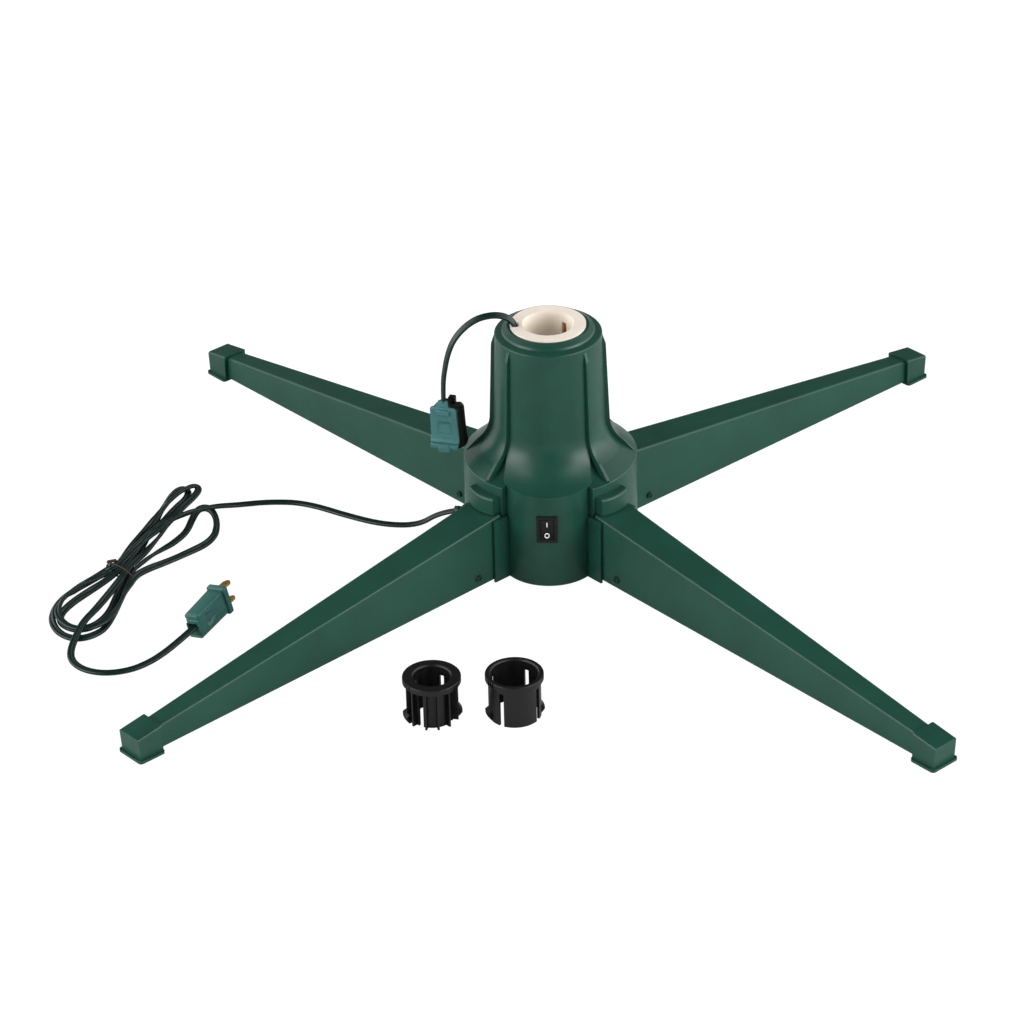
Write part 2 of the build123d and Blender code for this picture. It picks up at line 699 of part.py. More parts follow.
# =====================================================================================================
# Legs, foot caps and their screws
# =====================================================================================================
for name, angle in leg_angles.items():
    with BuildPart() as leg:
        for reach in (leg_start, leg_end):
            half, top, bottom = leg_at(reach)
            with BuildSketch(across(angle, reach)):
                with BuildLine():
                    start = top - leg_edge_round
                    bend = leg_edge_round * (1 - cos(radians(45)))
                    right = ThreePointArc((half, start), (half - bend, top - bend), (half - leg_edge_round, top))
                    left = ThreePointArc((leg_edge_round - half, top), (bend - half, top - bend), (-half, start))
                    Line(right @ 1, left @ 0)
                    Polyline(left @ 1, (-half, bottom), (half, bottom), right @ 0)
                make_face()
        loft(ruled=True)
        for reach in (leg_start - 5, leg_end + 5):
            half, top, bottom = leg_at(reach)
            with BuildSketch(across(angle, reach)):
                with BuildLine():
                    Polyline((leg_sheet - half, bottom - 20), (half - leg_sheet, bottom - 20),
                             (half - leg_sheet, top - leg_sheet), (leg_sheet - half, top - leg_sheet), close=True)
                make_face()
        loft(ruled=True, mode=Mode.SUBTRACT)
        with BuildSketch(upright(angle)):
            with Locations((leg_screw_reach, leg_screw_z)):
                Circle(screw_radius + running_clearance)
        extrude(amount=30, both=True, mode=Mode.SUBTRACT)
    save(leg.part, f"leg_{name}")

    with BuildPart() as cap:
        with BuildSketch(upright(angle)):
            with BuildLine():
                Polyline((cap_start, 0), (cap_end - cap_lean, 0), (cap_end, cap_tip_top),
                         (cap_start, cap_root_top), close=True)
            make_face()
        extrude(amount=cap_half, both=True)
        fillet(cap.edges().filter_by(Axis.Z, reverse=True).filter_by_position(Axis.Z, cap_tip_top - 0.5, cap_root_top)
               .sort_by(SortBy.LENGTH)[-2:], radius=cap_round)
        with BuildSketch(turned(angle)):
            with Locations(((cap_flange_start + cap_flange_end) / 2, 0)):
                RectangleRounded(cap_flange_end - cap_flange_start, 2 * cap_flange_half, 2.5)
        extrude(amount=cap_flange_height)
        for reach in (cap_start - 5, leg_end + play):
            half, top, bottom = leg_at(reach)
            with BuildSketch(across(angle, reach)):
                with BuildLine():
                    Polyline((-half - play, cap_floor), (half + play, cap_floor),
                             (half + play, top + play), (-half - play, top + play), close=True)
                make_face()
        loft(ruled=True, mode=Mode.SUBTRACT)
    save(cap.part, f"foot_cap_{name}")

screw_seat = leg_at(leg_screw_reach - screw_head_radius)[0]
with BuildPart() as leg_screws:
    for angle in leg_angles.values():
        a = radians(angle)
        for side in (1, -1):
            x = leg_screw_reach * cos(a) - side * screw_seat * sin(a)
            y = leg_screw_reach * sin(a) + side * screw_seat * cos(a)
            add(pan_screw(Plane(origin=(x, y, leg_screw_z), x_dir=(0, 0, 1),
                                z_dir=(-side * sin(a), side * cos(a), 0)),
                          screw_seat - tongue_half + tongue_wall))
save(leg_screws.part, "leg_screws")

# =====================================================================================================
# Bearings
# =====================================================================================================
save(ring(bush_outer, journal_radius + running_clearance, bush_foot_z, bush_height), "upper_bush")
save(ring(lower_bush_radius, spigot_radius + running_clearance, plate_top + 0.2,
          centre_boss_top - plate_top - 0.2), "lower_bush")
save(ring(washer_radius, spigot_radius + 0.3, centre_boss_top, washer_thickness), "thrust_washer")

# =====================================================================================================
# Rotor
# =====================================================================================================
def sleeve_plan(clear):
    """D-shaped outline of the sleeve's outside, with one flat towards -X."""
    with BuildSketch() as plan:
        Circle(sleeve_outer + clear)
        with Locations((-sleeve_flat - clear - sleeve_outer, 0)):
            Rectangle(2 * sleeve_outer, 4 * sleeve_outer, mode=Mode.SUBTRACT)
    return plan.sketch


def on_sleeve(outer, foot, height, clear=running_clearance):
    """Ring that sits on the D-shaped outside of the sleeve."""
    with BuildPart() as piece:
        with BuildSketch(level(foot)):
            Circle(outer)
            add(sleeve_plan(clear), mode=Mode.SUBTRACT)
        extrude(amount=height)
    return piece.part


with BuildPart() as sleeve:
    with BuildSketch(level(sleeve_floor_z)):
        add(sleeve_plan(0))
    extrude(amount=sleeve_top - disc_thickness / 2 - sleeve_floor_z)
    with BuildSketch(level(sleeve_top - disc_thickness)):
        Circle(journal_radius)
    extrude(amount=disc_thickness)
    with BuildSketch(level(journal_foot_z)):
        Circle(journal_radius)
        Circle(journal_radius - journal_wall, mode=Mode.SUBTRACT)
    extrude(amount=sleeve_top - disc_thickness / 2 - journal_foot_z)
    with BuildSketch(level(journal_foot_z + web_drop)) as web_plan:        # webs between tube and journal
        for angle in (-30, 30, 90, 150, -90, -150):
            with Locations(Location((0, 0, 0), (0, 0, angle))):
                with Locations(((sleeve_bore + journal_radius) / 2, 0)):
                    Rectangle(journal_radius - sleeve_bore - 2, web_thickness)
    extrude(amount=sleeve_top - disc_thickness / 2 - journal_foot_z - web_drop)
    with BuildSketch(level(spigot_foot_z)):
        Circle(spigot_radius)
    extrude(amount=sleeve_floor_z - spigot_foot_z + 1)
    with BuildSketch(level(gear_top_z + play)):                     # shoulder above the gear
        Circle(collar_radius)
    extrude(amount=collar_height)
    with BuildSketch(level(sleeve_floor_z + sleeve_floor)):
        Circle(sleeve_bore)
    extrude(amount=sleeve_top, mode=Mode.SUBTRACT)
    with BuildSketch(turned(key_angle, key_foot_z)):                # slot of the grip spring
        with Locations((sleeve_bore + 0.5, 0)):
            Rectangle(6, key_width)
    extrude(amount=key_top_z - key_foot_z, mode=Mode.SUBTRACT)
    with BuildSketch(level(sleeve_top - disc_thickness - 2)):       # hole of the receptacle's cord
        with Locations((hole_x, hole_y)):
            SlotOverall(hole_length, hole_width, rotation=90)
    extrude(amount=disc_thickness + 4, mode=Mode.SUBTRACT)
    with BuildSketch(level(clip_foot_z - 0.05)):                    # groove of the retaining ring
        Circle(sleeve_outer + 2)
        Circle(sleeve_outer - clip_groove, mode=Mode.SUBTRACT)
    extrude(amount=clip_thickness + 0.1, mode=Mode.SUBTRACT)
save(sleeve.part, "rotor_sleeve")

with BuildPart() as spring:
    with BuildSketch(across(key_angle, sleeve_outer + 0.02, (key_top_z + key_foot_z) / 2)):
        Rectangle(spring_leaf_width, key_height + 2 * spring_margin)
    extrude(amount=spring_thickness)
    with BuildSketch(across(key_angle, sleeve_outer + 0.3, (key_top_z + key_foot_z) / 2)):
        Rectangle(key_width - 1, spring_nose_height)
    extrude(amount=-(sleeve_wall + 0.3), taper=20)
    with BuildSketch(across(key_angle, sleeve_outer + spring_thickness, (key_top_z + key_foot_z) / 2)):
        Rectangle(key_width - 2.2, spring_nose_height - 3)
    extrude(amount=-sleeve_wall + 0.4, taper=20, mode=Mode.SUBTRACT)
save(spring.part, "grip_spring")


def involute(angle):
    """Involute function of a pressure angle in radians."""
    return tan(angle) - angle


def gear_points(teeth, tip, root, first):
    """Outline of a spur gear with a tooth centred at the first angle."""
    pitch = module * teeth / 2
    base = pitch * cos(radians(20))
    start = max(base, root)
    half_pitch = tooth_share * module / pitch + involute(radians(20))
    flank = []
    for step in range(4):
        radius = between(start, tip, step / 3)
        flank.append((radius, half_pitch - involute(acos(min(1.0, base / radius)))))
    if root < base:
        flank.insert(0, (root, flank[0][1]))
    points = []
    for tooth in range(teeth):
        centre = radians(first) + 6.283185307 * tooth / teeth
        for radius, half in flank:
            points.append((radius * cos(centre - half), radius * sin(centre - half)))
        for radius, half in reversed(flank):
            points.append((radius * cos(centre + half), radius * sin(centre + half)))
    return points


with BuildPart() as gear:
    with BuildSketch(level(gear_foot_z)):
        with BuildLine():
            Polyline(*gear_points(gear_teeth, gear_tip_radius,
                                  gear_pitch_radius - 1.2 * module, 90), close=True)
        make_face()
        add(sleeve_plan(running_clearance), mode=Mode.SUBTRACT)
    extrude(amount=gear_width)
save(gear.part, "rotor_gear")

with BuildPart() as clip:                                           # retaining ring with an open side
    with BuildSketch(level(clip_foot_z)):
        Circle(clip_radius)
        Circle(sleeve_outer - clip_groove + running_clearance, mode=Mode.SUBTRACT)
        with Locations((clip_radius, 0)):
            Rectangle(clip_radius, clip_gap_width, mode=Mode.SUBTRACT)
    extrude(amount=clip_thickness)
save(clip.part, "gear_retaining_ring")

save(on_sleeve(carrier_radius, carrier_foot_z, carrier_height), "slip_ring_carrier")
for name, step in (("live", 0), ("neutral", 1)):
    foot = carrier_foot_z + slip_ring_gap + step * (slip_ring_width + slip_ring_gap)
    save(ring(ring_face, carrier_radius + running_clearance, foot, slip_ring_width),
         f"slip_ring_{name}")

# =====================================================================================================
# Motor and pinion
# =====================================================================================================
motor_holes = ((motor_screw_span / 2, motor_reach), (-motor_screw_span / 2, motor_reach))
with BuildPart() as motor_can:
    with BuildSketch(level(motor_foot_z)):
        with Locations((0, motor_reach)):
            Circle(motor_radius)
    extrude(amount=motor_can_height)
    fillet(motor_can.edges().group_by(Axis.Z)[0], radius=motor_round)
    with BuildSketch(level(motor_foot_z + motor_can_height / 2)):
        with Locations((0, motor_reach + motor_radius)):
            Rectangle(motor_plug_width, 2 * motor_plug_depth)
    extrude(amount=motor_plug_height)
save(motor_can.part, "motor_body")

with BuildPart() as gearbox:
    with BuildSketch(level(motor_foot_z + motor_can_height)):
        with Locations((0, motor_reach)):
            Circle(motor_radius)
    extrude(amount=motor_gearbox_height)
    with BuildSketch(level(motor_plate_z)):
        with Locations((0, motor_reach)):
            Circle(motor_radius)
            SlotOverall(motor_screw_span + 2 * motor_post_radius, 2 * motor_post_radius)
    extrude(amount=motor_plate_thickness)
    with BuildSketch(level(motor_plate_z - 1)):
        with Locations(motor_holes):
            Circle(screw_radius + running_clearance)
    extrude(amount=motor_plate_thickness + 2, mode=Mode.SUBTRACT)
    with BuildSketch(level(motor_foot_z + motor_can_height + 1)):
        with Locations((0, shaft_reach)):
            Circle(motor_shaft_radius + running_clearance)
    extrude(amount=motor_gearbox_height + 5, mode=Mode.SUBTRACT)
save(gearbox.part, "motor_gearbox")

with BuildPart() as motor_screws:
    for x, y in motor_holes:
        add(pan_screw(Plane(origin=(x, y, motor_plate_z + motor_plate_thickness), x_dir=(1, 0, 0),
                            z_dir=(0, 0, 1)), motor_screw_length))
save(motor_screws.part, "motor_screws")

with BuildPart() as shaft:
    with BuildSketch(level(motor_foot_z + motor_can_height + 1.5)):
        with Locations((0, shaft_reach)):
            Circle(motor_shaft_radius)
    extrude(amount=gear_top_z + 2 - motor_foot_z - motor_can_height - 1.5)
save(shaft.part, "motor_shaft")

with BuildPart() as pinion:
    with BuildSketch(level(gear_foot_z)):
        with BuildLine():
            Polyline(*[(x, y + shaft_reach) for x, y in
                       gear_points(pinion_teeth, pinion_pitch_radius + 0.85 * module,
                                   pinion_pitch_radius - 1.2 * module, 180 / pinion_teeth - 90)], close=True)
        make_face()
        with Locations((0, shaft_reach)):
            Circle(motor_shaft_radius + 0.02, mode=Mode.SUBTRACT)
    extrude(amount=gear_width)
save(pinion.part, "motor_pinion")

# =====================================================================================================
# Brushes
# =====================================================================================================
def wiper_z(step):
    """Height of the middle of a slip ring."""
    return carrier_foot_z + slip_ring_gap + slip_ring_width / 2 + step * (slip_ring_width + slip_ring_gap)


with BuildPart() as brush_block:
    with BuildSketch(level(brush_foot_z)):
        with Locations(((brush_start + brush_end) / 2, 0)):
            Rectangle(brush_end - brush_start, 2 * brush_half)
    extrude(amount=brush_height)
    for step in (0, 1):
        with BuildSketch(level(wiper_z(step) - wiper_width / 2 - 0.2)):
            with Locations((brush_start, 0)):
                Rectangle(2 * brush_slot_depth, 2 * (brush_half - brush_slot_inset))
        extrude(amount=wiper_width + 0.4, mode=Mode.SUBTRACT)
save(brush_block.part, "brush_block")

with BuildPart() as wipers:                                         # sprung strips that run on the slip rings
    for step in (0, 1):
        with BuildSketch(level(wiper_z(step) - wiper_width / 2)):
            with BuildLine():
                seat = brush_start + brush_slot_depth - 0.1
                tip = ring_face + wiper_clearance
                end = brush_half - brush_slot_inset - 0.2
                Polyline((seat, end), (seat - wiper_thickness, end), (tip, wiper_flat), (tip, -wiper_flat),
                         (seat - wiper_thickness, -end), (seat, -end), (tip + wiper_thickness, -wiper_flat),
                         (tip + wiper_thickness, wiper_flat), close=True)
            make_face()
        extrude(amount=wiper_width)
save(wipers.part, "brush_wipers")

# =====================================================================================================
# Switch
# =====================================================================================================
with BuildPart() as switch:
    with BuildSketch(Plane.XZ.offset(bezel_front - bezel_thickness)):
        with Locations((0, switch_z)):
            RectangleRounded(bezel_width, bezel_height, bezel_round)
    extrude(amount=bezel_thickness)
    with BuildSketch(Plane.XZ.offset(bezel_front - bezel_thickness - switch_depth)):
        with Locations((0, switch_z)):
            Rectangle(switch_body_width, switch_body_height)
    extrude(amount=switch_depth)
    with BuildSketch(Plane.XZ.offset(bezel_front - switch_pocket_depth)):
        with Locations((0, switch_z)):
            Rectangle(rocker_width + rocker_clear, 2 * rocker_half + 2 * rocker_clear)
    extrude(amount=switch_pocket_depth + 1, mode=Mode.SUBTRACT)
    with BuildSketch(Plane.YZ):
        with Locations((rocker_pivot_y, switch_z)):
            Circle(trunnion_radius + running_clearance)
    extrude(amount=switch_body_width / 2 - 0.3, both=True, mode=Mode.SUBTRACT)
save(switch.part, "switch_body")

with BuildPart() as terminals:
    with BuildSketch(Plane.XZ.offset(bezel_front - bezel_thickness - switch_depth)):
        with Locations((0, switch_z - terminal_reach), (0, switch_z + terminal_reach)):
            Rectangle(terminal_width, terminal_thickness)
    extrude(amount=-terminal_length)
save(terminals.part, "switch_terminals")

with BuildPart() as rocker:                                         # drawn level, then tipped to rest
    with BuildSketch(Plane.YZ):
        with BuildLine():
            face = ThreePointArc((-rocker_horn, -rocker_half), (-rocker_dip, 0), (-rocker_horn, rocker_half))
            Polyline(face @ 1, (-rocker_shoulder, rocker_half), (rocker_back, rocker_back_half),
                     (rocker_back, -rocker_back_half), (-rocker_shoulder, -rocker_half), face @ 0)
        make_face()
    extrude(amount=rocker_width / 2, both=True)
    with BuildSketch(Plane.YZ):
        Circle(trunnion_radius)
    extrude(amount=switch_body_width / 2 - 0.45, both=True)
    with BuildSketch(Plane.XZ.offset(rocker_horn - 0.38 - mark_depth)):     # marks: I above, O below
        with Locations((0, mark_reach)):
            Rectangle(mark_stroke, mark_height)
        with Locations((0, -mark_reach)):
            Circle(mark_height / 2)
            Circle(mark_height / 2 - mark_stroke + 0.1, mode=Mode.SUBTRACT)
    extrude(amount=2, mode=Mode.SUBTRACT)
tipped = rocker.part.rotate(Axis.X, -rocker_tilt)
save(tipped.translate((0, rocker_pivot_y, switch_z)), "switch_rocker")

# =====================================================================================================
# Lead, with its bushing, hank, tie and plug
# =====================================================================================================
lead_points = [
    (-71.7, 26.1, 18), (-84.9, 30.9, 18), (-101, 33.5, 9), (-124, 34, 2), (-150, 43, 2),
    (-186, 63, 2), (-213, 64, 2), (-237, 58, 2), (-252, 48, 2)]
hank_outline = [
    (-249.2, 43.8), (-245.5, 28), (-246, 12), (-251, -2), (-262, -12), (-277.5, -25), (-291, -37.5),
    (-299, -50), (-301.5, -72), (-303, -93), (-308, -112), (-315, -125), (-324.7, -132), (-334.5, -130),
    (-345, -124), (-352.5, -110), (-354.5, -95), (-352, -77), (-342, -59), (-329, -44), (-318.5, -32),
    (-313, -18), (-310.5, -7), (-306, 9), (-299, 20), (-295, 38), (-291, 55), (-288, 78), (-281.5, 87.5),
    (-274, 85), (-263.5, 79), (-263, 66), (-254.8, 52.2)]
hank_height = 10.0
tail_points = [
    (-329.6, -131.03, 2), (-332.4, -144.5, 2), (-328.5, -158.5, 2), (-318, -168.5, 2), (-303, -172, 2),
    (-287, -167.5, 2), (-275, -158.5, 2.5), (-264, -149, 5.5), (-253, -135.6, 9.3), (-246, -123.5, 10.4)]
receptacle_points = [
    (-22.6, -3.4, 179.5), (-22.6, -3.4, 186.3), (-26.2, -4.2, 192.4), (-32.4, -5.4, 195.9),
    (-40.6, -6.9, 196.7), (-50.2, -8.7, 194.6), (-59.2, -10.3, 188.2), (-66.6, -11.6, 178.9),
    (-70.7, -12.3, 167.6), (-73.0, -12.8, 156.0), (-74.5, -13.1, 144.5), (-74.5, -13.1, 133.5)]


def corner_radii(points):
    """Radius of each corner: 0.45 of the shorter run over the tangent of half the turn."""
    found = []
    for before, here, after in zip(points, points[1:], points[2:]):
        run_in = Vector(*here) - Vector(*before)
        run_out = Vector(*after) - Vector(*here)
        half_turn = radians(run_in.get_angle(run_out)) / 2
        found.append(0.45 * min(run_in.length, run_out.length) / tan(half_turn))
    return found


def cord_tube(points, width, name):
    """Round tube along hand-laid points: straight runs joined by tangent arcs."""
    radii = corner_radii(points)
    with BuildPart() as tube:
        with BuildLine() as route:
            FilletPolyline(*points, radius=radii)
        line = route.wires()[0]
        with BuildSketch(Plane(origin=line @ 0, z_dir=line % 0)):
            Circle(width / 2)
        sweep(path=line)
    expected = 3.14159265 * width ** 2 / 4 * line.length
    print(f"{name}: length {line.length:.1f}, radii {[round(r, 1) for r in radii]}, "
          f"volume {tube.part.volume:.0f} of {expected:.0f}")
    save(tube.part, name)


with BuildPart() as bushing:
    with BuildSketch(upright(bushing_angle)):
        with BuildLine():
            back = hub_radius - wall - bushing_inner
            flange = hub_radius + bushing_flange_width
            Polyline((back, bushing_z), (back, bushing_z + bushing_radius - 0.2),
                     (hub_radius + 0.2, bushing_z + bushing_radius), (hub_radius + 0.2, bushing_z + bushing_flange),
                     (flange, bushing_z + bushing_flange), (flange, bushing_z + bushing_radius),
                     (bushing_end, bushing_z + bushing_tail), (bushing_end, bushing_z), close=True)
        make_face()
    revolve(axis=Axis((0, 0, bushing_z), (cos(radians(bushing_angle)), sin(radians(bushing_angle)), 0)))
    for step in range(4):                                           # grooves that let the bushing flex
        with BuildSketch(across(bushing_angle, hub_radius + 4.2 + bushing_groove_pitch * step, bushing_z)):
            Circle(bushing_flange + 1)
            Circle(bushing_core, mode=Mode.SUBTRACT)
        extrude(amount=bushing_groove, mode=Mode.SUBTRACT)
save(bushing.part, "cord_bushing")

cord_tube(lead_points, cord_width, "power_cord_lead")
cord_tube(tail_points, cord_width, "power_cord_tail")
cord_tube(receptacle_points, rotor_cord_width, "receptacle_cord")

with BuildPart() as rotor_lead:                                     # straight run inside the rotor
    with BuildSketch(level(carrier_top_z)):
        with Locations((receptacle_points[0][0], receptacle_points[0][1])):
            Circle(rotor_cord_width / 2)
    extrude(amount=receptacle_points[0][2] - carrier_top_z)
save(rotor_lead.part, "rotor_lead")

with BuildPart() as hank:
    with BuildSketch(level(0)):
        with BuildLine():
            Polyline(*hank_outline, close=True)
        make_face()
    extrude(amount=hank_height)
save(hank.part, "power_cord_hank")

tie_centre = Vector(-308.8, -41.0, 0)
tie_along = Vector(0.78, -0.626, 0)
tie_half = 14.2
with BuildPart() as tie:                                            # wire tie over the hank's waist
    with BuildSketch(Plane(origin=tie_centre, x_dir=tie_along, z_dir=Vector(-0.626, -0.78, 0))):
        with Locations((0, (hank_height + 1) / 2)):
            Rectangle(2 * tie_half + 1.6, hank_height + 1)
        with Locations((0, hank_height / 2)):
            Rectangle(2 * tie_half, hank_height + 0.1, mode=Mode.SUBTRACT)
    extrude(amount=0.6, both=True)
save(tie.part, "cord_tie")

plug_pitch = 4.5
plug_roll = 20.0
plug_length = 37.0
plug_rear_height = 18.0
plug_front_height = 24.0
plug_thickness = 11.0
plug_rim = 4.0
blade_width = 6.3
blade_thickness = 1.5
blade_length = 17.0
blade_spacing = 12.7
plug_side = Vector(0.866, -0.5, 0)
plug_forward = Vector(0.5 * cos(radians(plug_pitch)), 0.866 * cos(radians(plug_pitch)), sin(radians(plug_pitch)))
plug_up = plug_side.cross(plug_forward) * cos(radians(plug_roll)) - plug_side * sin(radians(plug_roll))


def plug_plane(reach):
    """Plane across the plug: x over its thickness, y over its height."""
    origin = Vector(*tail_points[-1]) + plug_forward * reach
    return Plane(origin=origin, x_dir=plug_up.cross(plug_forward), z_dir=plug_forward)


with BuildPart() as plug:
    with BuildSketch(plug_plane(0)):
        RectangleRounded(plug_thickness - 2, plug_rear_height, 3)
    with BuildSketch(plug_plane(plug_length - plug_rim)):
        RectangleRounded(plug_thickness, plug_front_height - 1.5, 3)
    loft(ruled=True)
    with BuildSketch(plug_plane(plug_length - plug_rim)):
        RectangleRounded(plug_thickness + 1, plug_front_height, 3)
    extrude(amount=plug_rim)
    with BuildSketch(Plane(origin=plug_plane(0).origin + plug_plane(0).x_dir * (plug_thickness / 2 - 1.4),
                           x_dir=plug_forward, z_dir=plug_plane(0).x_dir)):
        with Locations((plug_length * 0.36, 0)):
            RectangleRounded(15, 9, 2)
    extrude(amount=3, mode=Mode.SUBTRACT)
    with BuildSketch(plug_plane(plug_length - 10)):
        with Locations((0, blade_spacing / 2), (0, -blade_spacing / 2)):
            Rectangle(blade_width + 0.1, blade_thickness + 0.1)
    extrude(amount=12, mode=Mode.SUBTRACT)
save(plug.part, "plug_body")

with BuildPart() as plug_door:                                      # sliding cover in the plug's side
    with BuildSketch(Plane(origin=plug_plane(0).origin + plug_plane(0).x_dir * (plug_thickness / 2 - 1.4),
                           x_dir=plug_forward, z_dir=plug_plane(0).x_dir)):
        with Locations((plug_length * 0.36, 0)):
            RectangleRounded(14.6, 8.6, 1.8)
    extrude(amount=0.8)
save(plug_door.part, "plug_fuse_door")

with BuildPart() as blades:
    with BuildSketch(plug_plane(plug_length - 10)):
        with Locations((0, blade_spacing / 2), (0, -blade_spacing / 2)):
            Rectangle(blade_width, blade_thickness)
    extrude(amount=blade_length + 10)
    blade_tips = blades.edges().sort_by(Axis(plug_plane(0).origin, plug_forward))[-8:]
    chamfer(blade_tips.filter_by(Axis((0, 0, 0), plug_plane(0).x_dir)), length=0.45)
    with BuildSketch(Plane(origin=plug_plane(plug_length + blade_length - 4).origin, x_dir=plug_forward,
                           z_dir=plug_up)):
        Circle(1.6)
    extrude(amount=20, both=True, mode=Mode.SUBTRACT)
save(blades.part, "plug_blades")

# =====================================================================================================
# Receptacle on the rotor's cord, for the plug of the tree's lights
# =====================================================================================================
socket_turn = 12.0
socket_face = (-75.4, -16.6, 108.8)
socket_width = 19.0
socket_height = 29.0
socket_back_width = 24.0
socket_back_height = 32.0
socket_depth = 13.0
socket_bevel = 4.0
cover_depth = 2.0
socket_normal = Vector(-sin(radians(socket_turn)), -cos(radians(socket_turn)), 0)
socket_top = socket_face[2] + 1 + socket_back_height / 2


def socket_plane(depth):
    """Plane of the receptacle's face, moved back by a depth: x to the right, y up."""
    return Plane(origin=Vector(*socket_face) - socket_normal * depth,
                 x_dir=Vector(0, 0, 1).cross(socket_normal), z_dir=socket_normal)


def socket_slots(clear):
    """The two slots for the blades of a plug."""
    with BuildSketch() as slots:
        with Locations((-blade_spacing / 2 + 1.2, 6.5), (blade_spacing / 2 - 1.2, 6.5)):
            Rectangle(blade_thickness + clear, blade_width + 0.6 + clear)
    return slots.sketch


with BuildPart() as socket_body:
    with BuildSketch(socket_plane(cover_depth)):
        RectangleRounded(socket_width + 1.4, socket_height + 1, 2)
    with BuildSketch(socket_plane(socket_bevel + cover_depth)):
        with Locations((0, 1)):
            RectangleRounded(socket_back_width, socket_back_height, 3)
    loft(ruled=True)
    with BuildSketch(socket_plane(socket_depth)):
        with Locations((0, 1)):
            RectangleRounded(socket_back_width, socket_back_height, 3)
    extrude(amount=socket_depth - socket_bevel - cover_depth)
    with BuildSketch(level(socket_top - 1)):
        with Locations((receptacle_points[-1][0], receptacle_points[-1][1])):
            Circle(4.2)
    extrude(amount=receptacle_points[-1][2] - socket_top + 1, taper=12)
    with BuildSketch(socket_plane(cover_depth + 7)):
        add(socket_slots(0.5))
    extrude(amount=8, mode=Mode.SUBTRACT)
save(socket_body.part, "receptacle_body")

with BuildPart() as socket_cover:
    with BuildSketch(socket_plane(cover_depth)):
        RectangleRounded(socket_width, socket_height, 1.8)
    extrude(amount=cover_depth)
    with BuildSketch(socket_plane(0.2)):
        with Locations((0, 6.5)):
            RectangleRounded(socket_width - 4, 11, 1.2)
        with Locations((0, 6.5)):
            RectangleRounded(socket_width - 6, 9, 0.9, mode=Mode.SUBTRACT)
    extrude(amount=0.9)
    with BuildSketch(socket_plane(0.2)):
        with Locations((0, 2.6 - socket_height / 2)):
            RectangleRounded(socket_width, 5.2, 1.6)
    extrude(amount=1.4)
    with BuildSketch(socket_plane(cover_depth + 1)):
        add(socket_slots(0.4))
    extrude(amount=6, mode=Mode.SUBTRACT)
save(socket_cover.part, "receptacle_cover")

with BuildPart() as contacts:
    with BuildSketch(socket_plane(cover_depth + 6.8)):
        add(socket_slots(0))
    extrude(amount=6)
save(contacts.part, "receptacle_contacts")

# =====================================================================================================
# Pole adapters: loose pieces that stand beside the object
# =====================================================================================================
def adapter(place, front, bore, tube_wall, ribbed, name):
    """Reducing sleeve: flange on top, and below it two panels and, between them, two barbed fingers."""
    slot_top = adapter_height - adapter_slot_drop
    with BuildPart() as piece:
        with BuildSketch(level(0)):
            Circle(bore + tube_wall)
        extrude(amount=adapter_height)
        with BuildSketch(level(adapter_height - adapter_flange_height)):
            Circle(adapter_flange_radius)
        extrude(amount=adapter_flange_height)
        fillet(piece.edges().filter_by(GeomType.CIRCLE).sort_by(Axis.Z)[-1], radius=adapter_flange_round)
        if ribbed:                                                  # ribs that fill out the bore
            with BuildSketch(level(0)):
                for panel in range(4):
                    for step in (-1, 0, 1):
                        angle = front + 90 * panel + step * adapter_rib_spread
                        with Locations(Location((0, 0, 0), (0, 0, angle))):
                            with Locations(((bore + 0.5 + adapter_radius) / 2, 0)):
                                Rectangle(adapter_radius - bore - 0.5, adapter_rib_thickness)
            extrude(amount=adapter_height - adapter_flange_height)
        for side in (90, -90):                                      # barbs of the two fingers
            with BuildSketch(upright(front + side - barb_turn / 2)):
                with BuildLine():
                    root = bore + tube_wall - 0.4
                    outer = adapter_radius + barb_proud
                    Polyline((root, barb_height), (adapter_radius, barb_height), (outer, barb_height * 0.7),
                             (outer, barb_height * 0.5), (adapter_radius, 0), (root, 0), close=True)
                make_face()
            revolve(axis=Axis.Z, revolution_arc=barb_turn)
        with BuildSketch(level(-1)):
            Circle(bore)
        extrude(amount=adapter_height + 2, mode=Mode.SUBTRACT)
        for quarter in (45, 135, 225, 315):                         # slots beside the fingers
            with BuildSketch(across(front + quarter, 0)):
                with Locations((0, slot_top / 2)):
                    Rectangle(adapter_slot_width, slot_top + 2)
            extrude(amount=adapter_flange_radius, mode=Mode.SUBTRACT)
        with BuildSketch(level(adapter_height - adapter_flange_height - 1)):
            for side in (90, -90):                                  # grip on the flange's sides
                with PolarLocations(adapter_flange_radius, round(grip_turn / grip_pitch),
                                    start_angle=front + side - grip_turn / 2, angular_range=grip_turn):
                    Rectangle(2 * grip_notch_depth, grip_notch)
        extrude(amount=adapter_flange_height + 2, mode=Mode.SUBTRACT)
        chamfer(piece.edges().filter_by(GeomType.CIRCLE).filter_by(lambda e: abs(e.radius - bore) < 0.01)
                .sort_by(Axis.Z)[-1], length=adapter_chamfer)
    save(piece.part.translate((place[0], place[1], 0)), name)


adapter(adapter_small_place, -73, adapter_small_bore, adapter_wall, True, "pole_adapter_small")
adapter(adapter_large_place, -72, adapter_large_bore, adapter_wall, False, "pole_adapter_large")
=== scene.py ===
import json
import math

import bmesh
import bpy
from mathutils import Matrix, Vector


